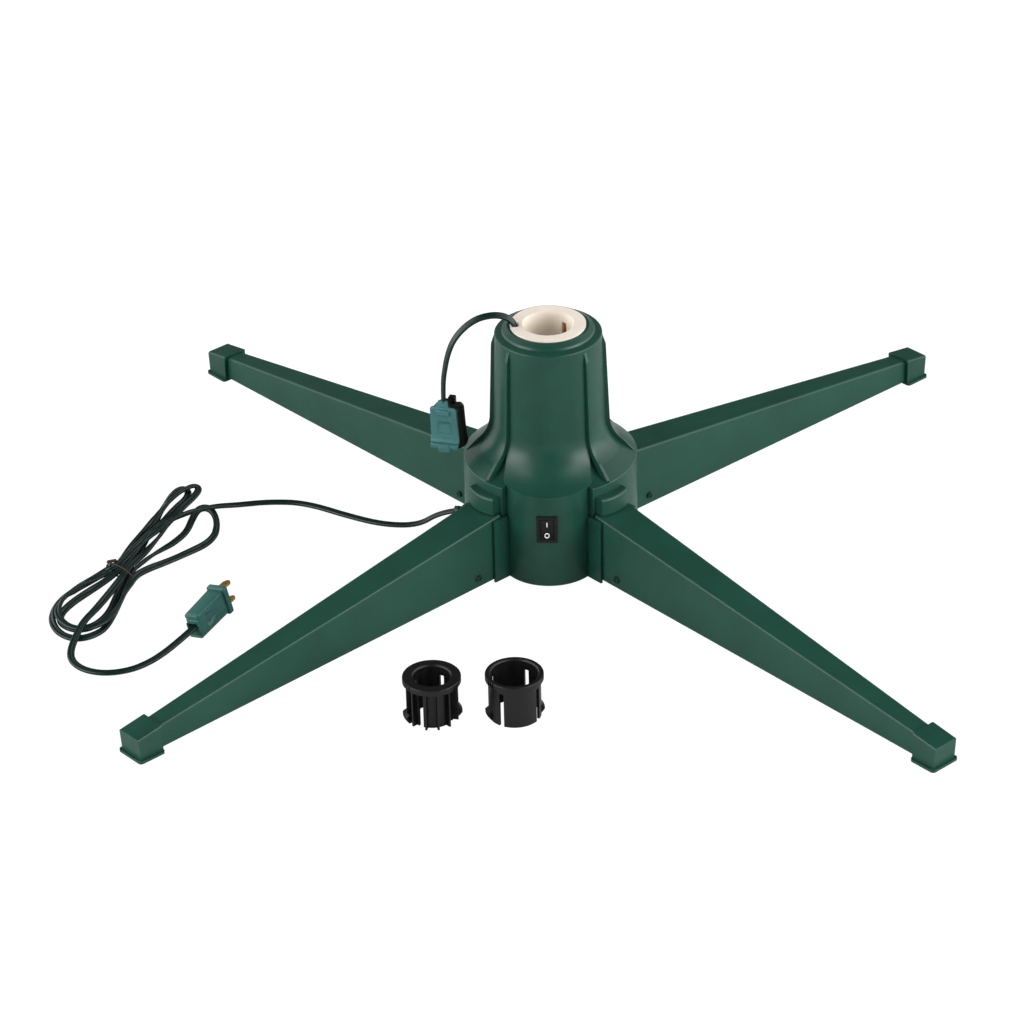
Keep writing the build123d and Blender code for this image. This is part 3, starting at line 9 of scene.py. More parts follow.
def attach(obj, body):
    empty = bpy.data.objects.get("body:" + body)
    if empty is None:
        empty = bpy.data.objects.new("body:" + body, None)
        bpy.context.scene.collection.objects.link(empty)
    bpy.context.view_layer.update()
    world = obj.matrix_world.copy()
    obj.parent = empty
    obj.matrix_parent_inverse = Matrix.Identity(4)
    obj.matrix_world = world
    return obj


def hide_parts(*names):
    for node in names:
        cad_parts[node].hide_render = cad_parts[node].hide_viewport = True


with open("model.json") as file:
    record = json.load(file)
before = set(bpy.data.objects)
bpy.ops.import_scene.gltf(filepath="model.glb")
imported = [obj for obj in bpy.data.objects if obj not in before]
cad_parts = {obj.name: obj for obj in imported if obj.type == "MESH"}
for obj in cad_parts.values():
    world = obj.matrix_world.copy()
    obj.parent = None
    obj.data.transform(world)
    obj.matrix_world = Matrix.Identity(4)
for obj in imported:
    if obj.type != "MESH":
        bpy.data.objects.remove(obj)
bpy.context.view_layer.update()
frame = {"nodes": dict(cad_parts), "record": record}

# Rotating christmas tree stand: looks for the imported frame. Metres, +Z up, the switch faces -Y.
nodes = frame["nodes"]
MM = 0.001


# ---- camera, at the photograph's viewing angle -------------------------------------------------
def make_camera():
    yaw, pitch, roll = math.radians(-3.49), math.radians(-30.67), math.radians(-1.36)
    flat = math.cos(pitch)
    forward = Vector((math.sin(yaw) * flat, math.cos(yaw) * flat, math.sin(pitch)))
    level = Vector((math.cos(yaw), -math.sin(yaw), 0))
    above = level.cross(forward)
    right = math.cos(roll) * level + math.sin(roll) * above
    up = math.cos(roll) * above - math.sin(roll) * level
    data = bpy.data.cameras.new("camera")
    data.sensor_width = 36
    data.lens = 36 * 4085.54 / 1024
    data.clip_start, data.clip_end = 0.1, 20
    camera = bpy.data.objects.new("camera", data)
    bpy.context.scene.collection.objects.link(camera)
    place = Matrix((right, up, -forward)).transposed().to_4x4()
    place.translation = Vector((126.25, -2537.43, 1539.83)) * MM
    camera.matrix_world = place
    bpy.context.scene.camera = camera


make_camera()

# ---- cords -------------------------------------------------------------------------------------
CORD_WIDTH = 5.4                    # flat twin lead, in millimetres
CORD_THICKNESS = 2.8
CORD_GROOVE = 0.5                   # depth of the groove between the two cores
TUBE_RADIUS = 1.9                   # of the round tube that the routes' heights are meant for
TWIST_FADE = 40                     # the bundle's twist comes and goes over this length
TWISTS = (38, 27, 0), (22, 11.3, 1) # degrees, length to a radian and start of its two waves
ROTOR_CORD_ACROSS = (0.17, -0.985, 0)

lead = [
    (-71.7, 26.1, 18), (-84.0, 29.5, 14), (-99, 29.5, 3.5), (-124, 32, 2), (-150, 43, 2),
    (-186, 63, 2), (-213, 64, 2), (-237, 58, 2.5)]
hank = [
    # in from the lead, over the right-hand loop to the tie
    (-252, 48.5, 7), (-267, 37.5, 8), (-279.5, 27, 8), (-289, 14, 7.5), (-297.5, 0, 7), (-305, -17, 7),
    (-310, -32, 7),
    # outer lower loop, down its left side and back up its right side
    (-318.5, -39.5, 5), (-329, -49.5, 2), (-341, -63, 2), (-350, -79, 2), (-352.3, -95, 2),
    (-350, -108.5, 2), (-343.5, -120.5, 2), (-334, -127.5, 2), (-325, -127.5, 2), (-316.5, -121.5, 2),
    (-310.3, -110.5, 2), (-306, -92.5, 2), (-304.5, -73.6, 2), (-305, -56, 2), (-307, -42, 2),
    # tall upper loop
    (-304.5, -24, 2), (-299.5, -4, 2), (-297, 14, 2), (-294.5, 33, 2), (-290.5, 55, 2), (-286.5, 74, 2),
    (-281, 83.5, 2), (-275, 79.5, 2), (-274.5, 68, 2), (-281, 53, 2), (-286.5, 38.5, 2.5),
    (-291.5, 18.5, 5.5), (-298.5, -2, 6), (-305.5, -22, 5.5), (-309.3, -38, 6),
    # first nested lower loop
    (-318, -51, 4), (-330, -66, 2), (-341, -83.7, 2), (-346.6, -98, 2), (-343, -109.5, 2),
    (-334, -116.5, 2), (-324, -115.5, 2), (-316.5, -107, 2), (-311, -92, 2), (-309, -73, 2),
    (-307, -57, 3), (-303.5, -43, 3),
    # right-hand loop
    (-296, -25, 2), (-287, -10, 2), (-275.5, 6, 2), (-269, 21, 2), (-267.5, 38, 2), (-264.5, 52, 2),
    (-257, 53.5, 2), (-251, 43, 2), (-247.8, 28.9, 2), (-248.2, 12.9, 2), (-253.5, 0.5, 2),
    (-264.5, -10, 2), (-279, -23.5, 2), (-292, -36.5, 3), (-299.5, -50, 5),
    # second nested lower loop, down its right side
    (-302.5, -72, 6), (-304.5, -92, 6), (-309.5, -108, 6), (-317, -117, 6), (-326, -121.5, 6),
    (-337, -118, 6), (-345, -107.5, 6), (-348.3, -95, 6), (-345, -79.5, 6), (-335, -62.5, 6),
    (-323.5, -47.5, 5), (-315, -35.5, 3),
    # up to the pointed fold and back down
    (-311.5, -21, 2), (-308.5, -7, 2), (-303.5, 8, 2), (-299, 19, 3), (-292.5, 38, 5.5),
    (-285.5, 57, 6), (-277, 74, 6), (-270.5, 82.5, 5), (-266.5, 79.5, 3), (-270.5, 66, 3),
    (-277.5, 46, 5), (-282.5, 25, 5.5), (-288, 5, 4.5), (-296.5, -15, 4), (-304, -36, 6),
    # out through the lower loops
    (-308.5, -57, 7), (-313.5, -77, 7), (-320, -96, 7), (-326, -112, 8), (-329.5, -127, 6)]
tail = [
    (-332.4, -144.5, 2), (-328.5, -158.5, 2), (-318, -168.5, 2), (-303, -172, 2),
    (-287, -167.5, 2), (-275, -158.5, 2.5), (-264, -149, 5.5), (-253, -135.6, 9.3),
    (-246, -123.5, 10.4), (-244.4, -120.7, 10.5)]
receptacle = [
    (-22.6, -3.4, 179.5), (-22.6, -3.4, 186.3), (-26.2, -4.2, 192.4), (-32.4, -5.4, 195.9),
    (-40.6, -6.9, 196.7), (-50.2, -8.7, 194.6), (-59.2, -10.3, 188.2), (-66.6, -11.6, 178.9),
    (-70.7, -12.3, 167.6), (-73.0, -12.8, 156.0), (-74.5, -13.1, 144.5), (-74.5, -13.1, 129.5)]


def spline_points(points):
    """Points of one smooth NURBS line whose control points are the route's, in millimetres."""
    curve = bpy.data.curves.new("route", "CURVE")
    curve.dimensions = "3D"
    spline = curve.splines.new("NURBS")
    spline.points.add(len(points) - 1)
    for point, place in zip(spline.points, points):
        point.co = (*place, 1)
    spline.order_u = 3
    spline.use_endpoint_u = True
    spline.resolution_u = 8
    line = bpy.data.meshes.new_from_object(bpy.data.objects.new("route", curve))
    places = [v.co.copy() for v in line.vertices]
    bpy.data.meshes.remove(line)
    return places


def twin_section():
    """Outline of a flat twin lead: two round cores with a groove between them on both sides."""
    core = CORD_THICKNESS / 2
    offset = CORD_WIDTH / 2 - core
    found = []
    for side in (1, -1):
        for step in range(9):
            turn = math.radians(-100 + 25 * step) * side
            found.append((side * (offset + core * math.cos(turn)), core * math.sin(turn)))
        found.append((0, side * (core - CORD_GROOVE)))
    return found


def flat_cord(name, points, twist, across=None):
    """Flat twin cord along a smooth line. It lies flat, unless across gives the direction of its width,
    and turns by twist degrees about its own line. Returns the piece and its line, in metres."""
    places = spline_points(points)
    section = twin_section()
    rings = []
    middle = []
    gone = 0
    for index, place in enumerate(places):
        before = places[max(index - 1, 0)]
        after = places[min(index + 1, len(places) - 1)]
        gone += (place - before).length
        along = (after - before).normalized()
        side = Vector(across) if across else along.cross(Vector((0, 0, 1)))
        side = (side - along * side.dot(along)).normalized()
        turn = Matrix.Rotation(math.radians(twist(gone)), 3, along)
        side = turn @ side
        top = side.cross(along)
        lift = 0 if across else (
            CORD_THICKNESS / 2 + (CORD_WIDTH - CORD_THICKNESS) / 2 * abs(side.z) - TUBE_RADIUS)
        centre = (place + Vector((0, 0, lift))) * MM
        middle.append(centre)
        rings.append([centre + (side * x + top * y) * MM for x, y in section])
    return new_piece(name, [loft(rings)]), middle


def loft(rings):
    """Closed skin over rings of as many points each."""
    count = len(rings[0])
    points = [point for ring in rings for point in ring]
    faces = [tuple(range(count)), tuple(range(len(points) - count, len(points)))]
    for start in range(0, len(points) - count, count):
        for k in range(count):
            here, beside = start + k, start + (k + 1) % count
            faces.append((here, beside, beside + count, here + count))
    return points, faces


def ring_prism(outer, inner, lift):
    """Flat ring between two outlines of as many points, given the thickness and direction of lift."""
    count = len(outer)
    points = [*outer, *inner, *(p + lift for p in outer), *(p + lift for p in inner)]
    rows = ((0, 1), (2, 3), (0, 2), (1, 3))
    faces = []
    for k in range(count):
        n = (k + 1) % count
        faces += [(a * count + k, a * count + n, b * count + n, b * count + k) for a, b in rows]
    return points, faces


def new_piece(name, shells, sharp=38):
    """One object of closed skins, smooth but for edges that turn by more than sharp degrees."""
    points = []
    faces = []
    for shell_points, shell_faces in shells:
        faces += [tuple(len(points) + k for k in face) for face in shell_faces]
        points += shell_points
    mesh = bpy.data.meshes.new(name)
    mesh.from_pydata(points, [], faces)
    work = bmesh.new()
    work.from_mesh(mesh)
    bmesh.ops.recalc_face_normals(work, faces=work.faces)
    work.to_mesh(mesh)
    work.free()
    mesh.shade_smooth()
    mesh.set_sharp_from_angle(angle=math.radians(sharp))
    piece = bpy.data.objects.new(name, mesh)
    bpy.context.scene.collection.objects.link(piece)
    return piece


def line_length(places):
    """Length of a line of points."""
    return sum((b - a).length for a, b in zip(places, places[1:]))


lead_length = line_length(spline_points(lead))
hank_length = line_length(spline_points(hank))


def power_twist(gone):
    """The lead lies flat, and in its bundle it turns to and fro."""
    come = min(max((gone - lead_length) / TWIST_FADE, 0), 1)
    leave = min(max((lead_length + hank_length - gone) / TWIST_FADE, 0), 1)
    return come * leave * sum(size * math.sin(gone / run + start) for size, run, start in TWISTS)


def rotor_twist(gone):
    """Seen flat where it leaves the rotor, and nearly on edge where it reaches the receptacle."""
    return 0.2 * gone - 30


power_cord, power_line = flat_cord("power_cord", lead + hank + tail, power_twist)
rotor_cord, rotor_line = flat_cord("rotor_cord", receptacle, rotor_twist, ROTOR_CORD_ACROSS)


# ---- wire tie ----------------------------------------------------------------------------------
TIE_CENTRE = Vector((-310.0, -43.5, 0))
TIE_ALONG = Vector((0.78, -0.626, 0))
TIE_WIRE = 0.7                      # radius
TIE_LOOP = [                        # across the bundle and up
    (-13.6, 3.0), (-12.2, 1.0), (-6, 0.7), (0, 0.7), (6, 0.7), (11.6, 0.9), (13.6, 2.6), (13.4, 5.8),
    (9.5, 8.8), (3.5, 9.9), (-2.5, 10.1), (-8, 9.4), (-12, 7.6), (-13.9, 5.2)]
TIE_STEPS = 8                       # points to a turn
TIE_TWIST = 0.55                    # radius of the twist
TIE_TAIL = 7.5                      # length of the twisted ends
TIE_TURNS = 4


def tie_spot(reach, height, off=0.0):
    """Place at the tie: reach over the bundle, height, and off along the bundle."""
    across = Vector((-TIE_ALONG.y, TIE_ALONG.x, 0))
    return TIE_CENTRE + TIE_ALONG * reach + across * off + Vector((0, 0, height))


def make_tie():
    """Paper-covered wire: a loop over the bundle's waist whose ends are twisted together."""
    curve = bpy.data.curves.new("wire_tie", "CURVE")
    curve.dimensions = "3D"
    runs = [([tie_spot(*spot) for spot in TIE_LOOP], True)]
    for start in (0, math.pi):
        strand = []
        for step in range(TIE_TURNS * TIE_STEPS + 1):
            turn = start + step * 2 * math.pi / TIE_STEPS
            gone = TIE_TAIL * step / (TIE_TURNS * TIE_STEPS)
            reach = -14.4 + 0.9 * gone + TIE_TWIST * math.cos(turn)
            height = 7.6 + 0.4 * gone + TIE_TWIST * math.sin(turn)
            strand.append(tie_spot(reach, height, 1.4 + 0.3 * gone))
        runs.append((strand, False))
    for places, closed in runs:
        spline = curve.splines.new("NURBS")
        spline.points.add(len(places) - 1)
        for point, place in zip(spline.points, places):
            point.co = (*(place * MM), 1)
        spline.order_u = 3
        spline.use_cyclic_u = closed
        spline.use_endpoint_u = not closed
    curve.bevel_depth = TIE_WIRE * MM
    curve.bevel_resolution = 2
    mesh = bpy.data.meshes.new_from_object(bpy.data.objects.new("wire_route", curve))
    mesh.shade_smooth()
    piece = bpy.data.objects.new("wire_tie", mesh)
    bpy.context.scene.collection.objects.link(piece)
    return piece


# ---- plug --------------------------------------------------------------------------------------
PLUG_START = Vector((-246, -123.5, 10.4))
PLUG_FORWARD = Vector((0.4985, 0.8633, 0.0785))
PLUG_ROLL = math.radians(12.5)
PLUG_STEPS = 14                     # stretches on each upright side, so that the grip has points
GRIP_START = 7.2
GRIP_LENGTH = 17.0
GRIP_DEPTH = 1.9


def plug_axes():
    """Directions towards the blades, to the far side and up."""
    side = Vector((0.866, -0.5, 0))
    up = side.cross(PLUG_FORWARD) * math.cos(PLUG_ROLL) - side * math.sin(PLUG_ROLL)
    up = (up - PLUG_FORWARD * up.dot(PLUG_FORWARD)).normalized()
    return PLUG_FORWARD, up.cross(PLUG_FORWARD), up


def plug_spot(reach, off, height):
    """Place on the plug: reach from its rear, off to the far side and up."""
    forward, far, up = plug_axes()
    return (PLUG_START + forward * reach + far * off + up * height) * MM


def rounded(left, right, low, high, radius, steps=3, long_steps=1):
    """Rounded rectangle, with long_steps stretches on its two upright sides."""
    found = []
    for x, y, start in ((right - radius, high - radius, 0), (left + radius, high - radius, 90),
                        (left + radius, low + radius, 180), (right - radius, low + radius, 270)):
        for step in range(steps + 1):
            turn = math.radians(start + 90 * step / steps)
            found.append((x + radius * math.cos(turn), y + radius * math.sin(turn)))
        if start in (90, 270):
            sign = -1 if start == 90 else 1
            run = high - low - 2 * radius
            for step in range(1, long_steps):
                found.append((found[-1][0], y + sign * run * step / long_steps))
    return found


def bar(spot, left, right, low, high, start, end, radius=0.5):
    """Small bar with rounded edges, whose ends lie along the first axis of spot."""
    soft = min(0.35, (end - start) / 3)
    rings = []
    for reach, inset in ((start, soft), (start + soft, 0), (end - soft, 0), (end, soft)):
        outline = rounded(left + inset, right - inset, low + inset, high - inset, radius)
        rings.append([spot(reach, x, y) for x, y in outline])
    return loft(rings)


def grip_depth(reach, height):
    """Three-cornered thumb grip in the near side, steep at the rear and fading towards the blades."""
    gone = reach - GRIP_START
    if gone <= 0:
        return 0
    room = 5.6 * (1 - gone / 19) - abs(height)
    along = min(gone / 0.25, 1) * max(1 - gone / GRIP_LENGTH, 0)
    return GRIP_DEPTH * along * min(max(room / 0.8, 0), 1)


def make_plug():
    """Tapered body with the cord's opening in its rear, ribs round it, thumb grip and front rim."""
    mouth = (-2.2, 5.4, -5.6, 1.6)
    rings = []
    for reach in (5.0, 0.4, 0.0):
        rings.append([plug_spot(reach, x, y) for x, y in rounded(*mouth, 0.5, long_steps=PLUG_STEPS)])
    body = (3, 5.5, 7.2, 7.45, 8.4, 10, 11.5, 13, 15, 17, 19, 21, 23, 26, 29.4)
    rim = [(30.2, 0.35), (30.4, -0.9), (30.9, -1.3), (34.2, -1.3), (34.9, -0.7), (35.0, 0.4)]
    stations = [(0.0, 0.9), (0.25, 0.35), (0.9, 0), *((reach, 0) for reach in body), *rim]
    for reach, inset in stations:
        share = reach / 30
        left, right = -5.3 - 0.3 * share, 6.9 + 1.0 * share
        low, high = -9.0 + 1.9 * share, 9.2 + 2.2 * share
        sides = left + inset, right - inset, low + inset, high - inset
        ring = []
        for x, y in rounded(*sides, 1.5, long_steps=PLUG_STEPS):
            if x < left + 0.2:
                x += grip_depth(reach, y - (low + high) / 2)
            ring.append(plug_spot(reach, x, y))
        rings.append(ring)
    shells = [loft(rings)]
    for low, high, out in ((6.4, 8.8, 0.9), (3.0, 4.8, 0.7), (-8.9, -7.0, 1.6)):
        shells.append(bar(plug_spot, -4.8, 6.3, low, high, -out, 0.6))
    shells.append(bar(plug_spot, 5.7, 6.8, -7.5, 2.2, -1.4, 0.6, 0.4))
    return new_piece("plug_shell", shells)


def make_blades():
    """Two flat blades with round tips and a hole near each tip."""
    shells = []
    half, thickness, start, end, hole = 3.15, 1.5, 28.0, 46.5, 1.3
    middle = 1.2                    # the blades' middle plane
    tip = 4.2                       # length of the round tip, with the hole at its start
    corner = 0.72
    count = 48
    for height in (8.3, -4.4):
        outer = []
        inner = []
        for step in range(count):
            turn = 2 * math.pi * step / count
            reach, off = math.cos(turn), math.sin(turn)
            inner.append(plug_spot(end - tip + hole * reach, middle + hole * off, height))
            if abs(off) > corner and reach < 0.7:
                edge = end - tip + 2 * reach, middle + math.copysign(half, off)
            elif reach < 0:
                edge = start, middle + half * off / corner
            else:
                edge = end - tip + tip * reach, middle + half * off
            outer.append(plug_spot(*edge, height))
        shells.append(ring_prism(outer, inner, plug_axes()[2] * thickness * MM))
    return new_piece("plug_contact_blades", shells, 30)


# ---- receptacle --------------------------------------------------------------------------------
SOCKET_FACE = Vector((-75.4, -16.6, 108.8))
SOCKET_TURN = math.radians(12)
SOCKET_LEAN = 0.035                 # the receptacle hangs a little askew


def socket_spot(out, across, height):
    """Place on the receptacle: out from its face, across to the right and up."""
    normal = Vector((-math.sin(SOCKET_TURN), -math.cos(SOCKET_TURN), 0))
    right = Vector((0, 0, 1)).cross(normal)
    shift = 0.3 + SOCKET_LEAN * (18 - height)
    return (SOCKET_FACE + normal * out + right * (across + shift) + Vector((0, 0, height))) * MM


def make_socket_cover():
    """Front half: plate with rounded corners, collar, pad, bare frame, lip, ledge and tab."""
    plate = [                       # height, front, left and right
        (18.7, -0.5, -7.6, 7.4), (18.5, -0.1, -8.4, 8.4), (17.9, 0.2, -9.2, 9.2), (16.8, 0.3, -9.5, 9.7),
        (12, 0.3, -9.6, 10), (-4.6, 0.3, -9.7, 10.7), (-5.6, 0.5, -9.7, 10.7), (-6.3, 1.5, -9.8, 10.7),
        (-7.1, 2.2, -9.8, 10.7), (-8.2, 2.3, -9.8, 10.7), (-9, 1.6, -9.8, 10.6), (-9.6, 0.4, -9.9, 10.4),
        (-10.5, 0.1, -10.2, 10), (-11, 0.8, -10.4, 9.8), (-11.5, 1.2, -10.5, 9.7),
        (-13.6, 1.2, -10.5, 9.6), (-14.3, 0.9, -10.4, 9.5), (-14.6, 0.2, -10.1, 9.2)]
    collar = [
        (23.5, -1.7, -3.2, 3.2), (23.3, -1.3, -3.4, 3.4), (22.6, -1.2, -3.6, 3.6),
        (18.4, -0.5, -5.8, 4.3), (17.9, -0.5, -6, 4.4)]
    shells = []
    for profile, back, radius in ((plate, -1.7, 0.6), (collar, -2.7, 0.4)):
        rings = []
        for height, front, left, right in profile:
            outline = rounded(left, right, back, front, radius)
            rings.append([socket_spot(out, x, height) for x, out in outline])
        shells.append(loft(rings))
    shells.append(bar(socket_spot, -4.6, 4.8, 13.0, 17.2, 0.1, 2.0, 0.5))
    shells.append(bar(socket_spot, -4.6, 5.4, 7.0, 7.7, 0.1, 0.75, 0.3))
    shells.append(bar(socket_spot, -4.8, 3.9, -16.6, -11.6, 0.2, 2.0, 1.6))
    outer = [socket_spot(0.2, x, y) for x, y in rounded(-4.6, 5.4, -1.8, 6.2, 0.6)]
    inner = [socket_spot(0.2, x, y) for x, y in rounded(-4.1, 4.9, -1.3, 5.7, 0.3)]
    shells.append(ring_prism(outer, inner, socket_spot(0.55, 0, 0) - socket_spot(0.2, 0, 0)))
    return new_piece("receptacle_front", shells)


def make_socket_back():
    """Rear half: shouldered body that widens to the back and downwards, neck for the cord, and a loop.
    Its left shoulder drops towards the back."""
    rings = []
    for out, more, neck in ((-1.3, -0.6, 22.8), (-1.7, 0, 23.2), (-5.5, 2.0, 23.2), (-7.2, 2.5, 22.8),
                            (-8.0, 2.7, 19.8), (-12.2, 2.7, 18.6), (-13.0, 2.0, 18.2)):
        right_half = [(0, neck), (3.4, neck), (4.2, neck - 0.6), (5.4, min(19.4, neck - 0.8)),
                      (7.6 + more, 18.0), (8.9 + more, 17.2), (9.7 + more, 15.4), (10.1 + more, 2),
                      (10.4 + more, -6), (11 + 1.15 * more, -11.4), (10.4 + 1.1 * more, -13.8),
                      (8.6 + more, -14.5)]
        drop = 0.6 * (-out - 1.3)
        left_half = [(-8.4, -14.5), (-9.8, -13.8), (-10.2, -11.4), (-10, -6), (-9.9, 2),
                     (-9.4, 14.2 - drop), (-8.8, 16.4 - drop), (-7.6, 18 - drop), (-6, 19.8 - drop),
                     (-4.2, 22.2 - drop), (-3.4, 22.8 - 0.5 * drop)]
        rings.append([socket_spot(out, x, y) for x, y in right_half + left_half])
    shells = [loft(rings)]
    outer = [socket_spot(-11.5, x, y) for x, y in rounded(2.2, 7.2, 17, 23.8, 0.8)]
    inner = [socket_spot(-11.5, x, y) for x, y in rounded(3.2, 5.2, 20.6, 22.6, 0.4)]
    shells.append(ring_prism(outer, inner, socket_spot(-7.5, 0, 0) - socket_spot(-11.5, 0, 0)))
    return new_piece("receptacle_back", shells)


# ---- marks on the switch -----------------------------------------------------------------------
ROCKER_PIVOT = Vector((0, -64.2, 57))
ROCKER_TILT = math.radians(9)
ROCKER_ARC = 17.9                   # radius of the rocker's hollow face
ROCKER_DIP = 1.8                    # its middle stands that far in front of the pivot
MARK_PROUD = 0.12
MARK_ROOT = -0.1                    # the marks start that deep in the face


def rocker_spot(across, height, out=0.0):
    """Place on the face of the rocker as it rests."""
    y = -ROCKER_DIP - (ROCKER_ARC - math.sqrt(ROCKER_ARC ** 2 - height ** 2)) - out
    turned = Vector((across, y * math.cos(ROCKER_TILT) + height * math.sin(ROCKER_TILT),
                     height * math.cos(ROCKER_TILT) - y * math.sin(ROCKER_TILT)))
    return (ROCKER_PIVOT + turned) * MM


def make_marks():
    """White I at the top and O at the bottom."""
    stroke = ((-0.4, MARK_ROOT), (0.4, MARK_ROOT), (0.4, MARK_PROUD), (-0.4, MARK_PROUD))
    band = ((1.8, MARK_ROOT), (1.8, MARK_PROUD), (1.15, MARK_PROUD), (1.15, MARK_ROOT))
    rings = []
    for step in range(7):
        height = 5.5 - 3.8 * step / 6
        rings.append([rocker_spot(x, height, out) for x, out in stroke])
    shells = [loft(rings)]
    rings = []
    count = 32
    for step in range(count):
        turn = 2 * math.pi * step / count
        rings.append([rocker_spot(size * math.cos(turn), -4.5 + size * math.sin(turn), out)
                      for size, out in band])
    points, faces = loft(rings)
    faces = faces[2:]
    last = len(points) - 4
    faces += [(last + k, last + (k + 1) % 4, (k + 1) % 4, k) for k in range(4)]
    shells.append((points, faces))
    return new_piece("switch_marks", shells)


# ---- pieces on their bodies --------------------------------------------------------------------
wire_tie = make_tie()
plug_shell = make_plug()
plug_contacts = make_blades()
socket_cover = make_socket_cover()
socket_back = make_socket_back()
switch_marks = make_marks()
for piece, body, slot, replaced in (
        (power_cord, "stand", "green_vinyl", ("power_cord_lead", "power_cord_hank", "power_cord_tail")),
        (wire_tie, "stand", "tie_wire", ("cord_tie",)),
        (plug_shell, "stand", "green_vinyl", ("plug_body",)),
        (plug_contacts, "stand", "brass", ("plug_blades",)),
        (rotor_cord, "rotor", "green_vinyl", ("receptacle_cord",)),
        (socket_cover, "rotor", "green_vinyl", ("receptacle_cover",)),
        # Painted shade: the receptacle's rear half takes black_plastic for its shadowed side, though it
        # is the same teal vinyl as the front.
        (socket_back, "rotor", "black_plastic", ("receptacle_body",)),
        (switch_marks, "rocker", "black_plastic", ())):
    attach(piece, body)
    if replaced:
        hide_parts(*replaced)


# ---- materials ---------------------------------------------------------------------------------
def linear(*colour):
    """Linear colour from 0-255 values as seen on a screen."""
    found = []
    for value in colour:
        share = value / 255
        found.append(share / 12.92 if share <= 0.04045 else ((share + 0.055) / 1.055) ** 2.4)
    return (*found, 1)


def new_material(name, roughness, metallic=0.0):
    """Material of one shader. Returns both."""
    material = bpy.data.materials.new(name)
    material.use_nodes = True
    shader = material.node_tree.nodes["Principled BSDF"]
    shader.inputs["Roughness"].default_value = roughness
    shader.inputs["Metallic"].default_value = metallic
    shader.inputs["Specular IOR Level"].default_value = 0.5 if metallic else 0.3
    return material, shader


def link(material, source, target):
    material.node_tree.links.new(source, target)


def noise(material, scale, detail=3.0):
    """Noise in object coordinates, so that it has a real size."""
    tree = material.node_tree
    place = tree.nodes.new("ShaderNodeTexCoord")
    texture = tree.nodes.new("ShaderNodeTexNoise")
    texture.inputs["Scale"].default_value = scale
    texture.inputs["Detail"].default_value = detail
    tree.links.new(place.outputs["Object"], texture.inputs["Vector"])
    return texture.outputs["Fac"]


def ramp(material, source, low, high, start=0.3, end=0.7):
    """Colour ramp between two colours."""
    node = material.node_tree.nodes.new("ShaderNodeValToRGB")
    node.color_ramp.elements[0].position = start
    node.color_ramp.elements[0].color = low
    node.color_ramp.elements[1].position = end
    node.color_ramp.elements[1].color = high
    link(material, source, node.inputs["Fac"])
    return node.outputs["Color"]


def spread(material, source, low, high):
    """Maps 0..1 noise to a range of values."""
    node = material.node_tree.nodes.new("ShaderNodeMapRange")
    node.inputs["From Min"].default_value = 0.3
    node.inputs["From Max"].default_value = 0.7
    node.inputs["To Min"].default_value = low
    node.inputs["To Max"].default_value = high
    link(material, source, node.inputs["Value"])
    return node.outputs["Result"]


def bump(material, shader, source, height, strength=1.0):
    """Bump of a real height in metres."""
    node = material.node_tree.nodes.new("ShaderNodeBump")
    node.inputs["Strength"].default_value = strength
    node.inputs["Distance"].default_value = height
    link(material, source, node.inputs["Height"])
    link(material, node.outputs["Normal"], shader.inputs["Normal"])


def moulded(name, colour, roughness, grain, height, change=0.06):
    """Moulded plastic: slight change of shade, fine grain, roughness that varies a little."""
    material, shader = new_material(name, roughness)
    low = linear(*[c * (1 - change) for c in colour])
    high = linear(*[min(255, c * (1 + change)) for c in colour])
    link(material, ramp(material, noise(material, 60), low, high), shader.inputs["Base Color"])
    link(material, spread(material, noise(material, 180), roughness - 0.04, roughness + 0.05),
         shader.inputs["Roughness"])
    bump(material, shader, noise(material, grain, 2), height, 0.35)
    return material


def painted(name, colour, roughness):
    """Powder coat on folded sheet: slight change of shade and faint orange peel."""
    material, shader = new_material(name, roughness)
    low = linear(*[c * 0.95 for c in colour])
    high = linear(*[min(255, c * 1.06) for c in colour])
    link(material, ramp(material, noise(material, 35), low, high), shader.inputs["Base Color"])
    link(material, spread(material, noise(material, 300), roughness - 0.05, roughness + 0.05),
         shader.inputs["Roughness"])
    bump(material, shader, noise(material, 700, 2), 0.00006, 0.4)
    return material


def metal(name, colour, roughness, scale=250):
    """Rolled or plated metal with fine changes of roughness."""
    material, shader = new_material(name, roughness, 1.0)
    low = linear(*[c * 0.9 for c in colour])
    shade = ramp(material, noise(material, scale), low, linear(*colour))
    link(material, shade, shader.inputs["Base Color"])
    link(material, spread(material, noise(material, scale * 3), roughness - 0.08, roughness + 0.08),
         shader.inputs["Roughness"])
    bump(material, shader, noise(material, scale * 4, 2), 0.00002, 0.5)
    return material


green_plastic = moulded("green_plastic", (22, 65, 53), 0.33, 1500, 0.00003)
green_paint = painted("green_paint", (21, 66, 53), 0.40)
green_vinyl = moulded("green_vinyl", (10, 34, 30), 0.30, 900, 0.00003)
teal_vinyl = moulded("teal_vinyl", (42, 92, 86), 0.38, 900, 0.00003)
# Painted light: a lighter copy of teal_vinyl for the receptacle's lit front, which is the same vinyl as
# the plug.
teal_vinyl_painted_lit = moulded("teal_vinyl_painted_lit", (58, 106, 106), 0.38, 900, 0.00003)
cream_plastic = moulded("cream_plastic", (240, 230, 216), 0.35, 1500, 0.00002, 0.02)
black_plastic = moulded("black_plastic", (13, 13, 13), 0.38, 1500, 0.00003)
bearing_plastic = moulded("bearing_plastic", (214, 210, 198), 0.4, 1500, 0.00002)
brass = metal("brass", (214, 160, 84), 0.28)
screw_steel = metal("screw_steel", (70, 84, 78), 0.42)
motor_steel = metal("motor_steel", (180, 182, 184), 0.35)
mark_paint = moulded("mark_paint", (225, 225, 222), 0.5, 1200, 0.00001, 0.02)
screw_paint = painted("screw_paint", (16, 50, 42), 0.4)
tie_wire = moulded("tie_wire", (52, 34, 24), 0.6, 700, 0.00005)

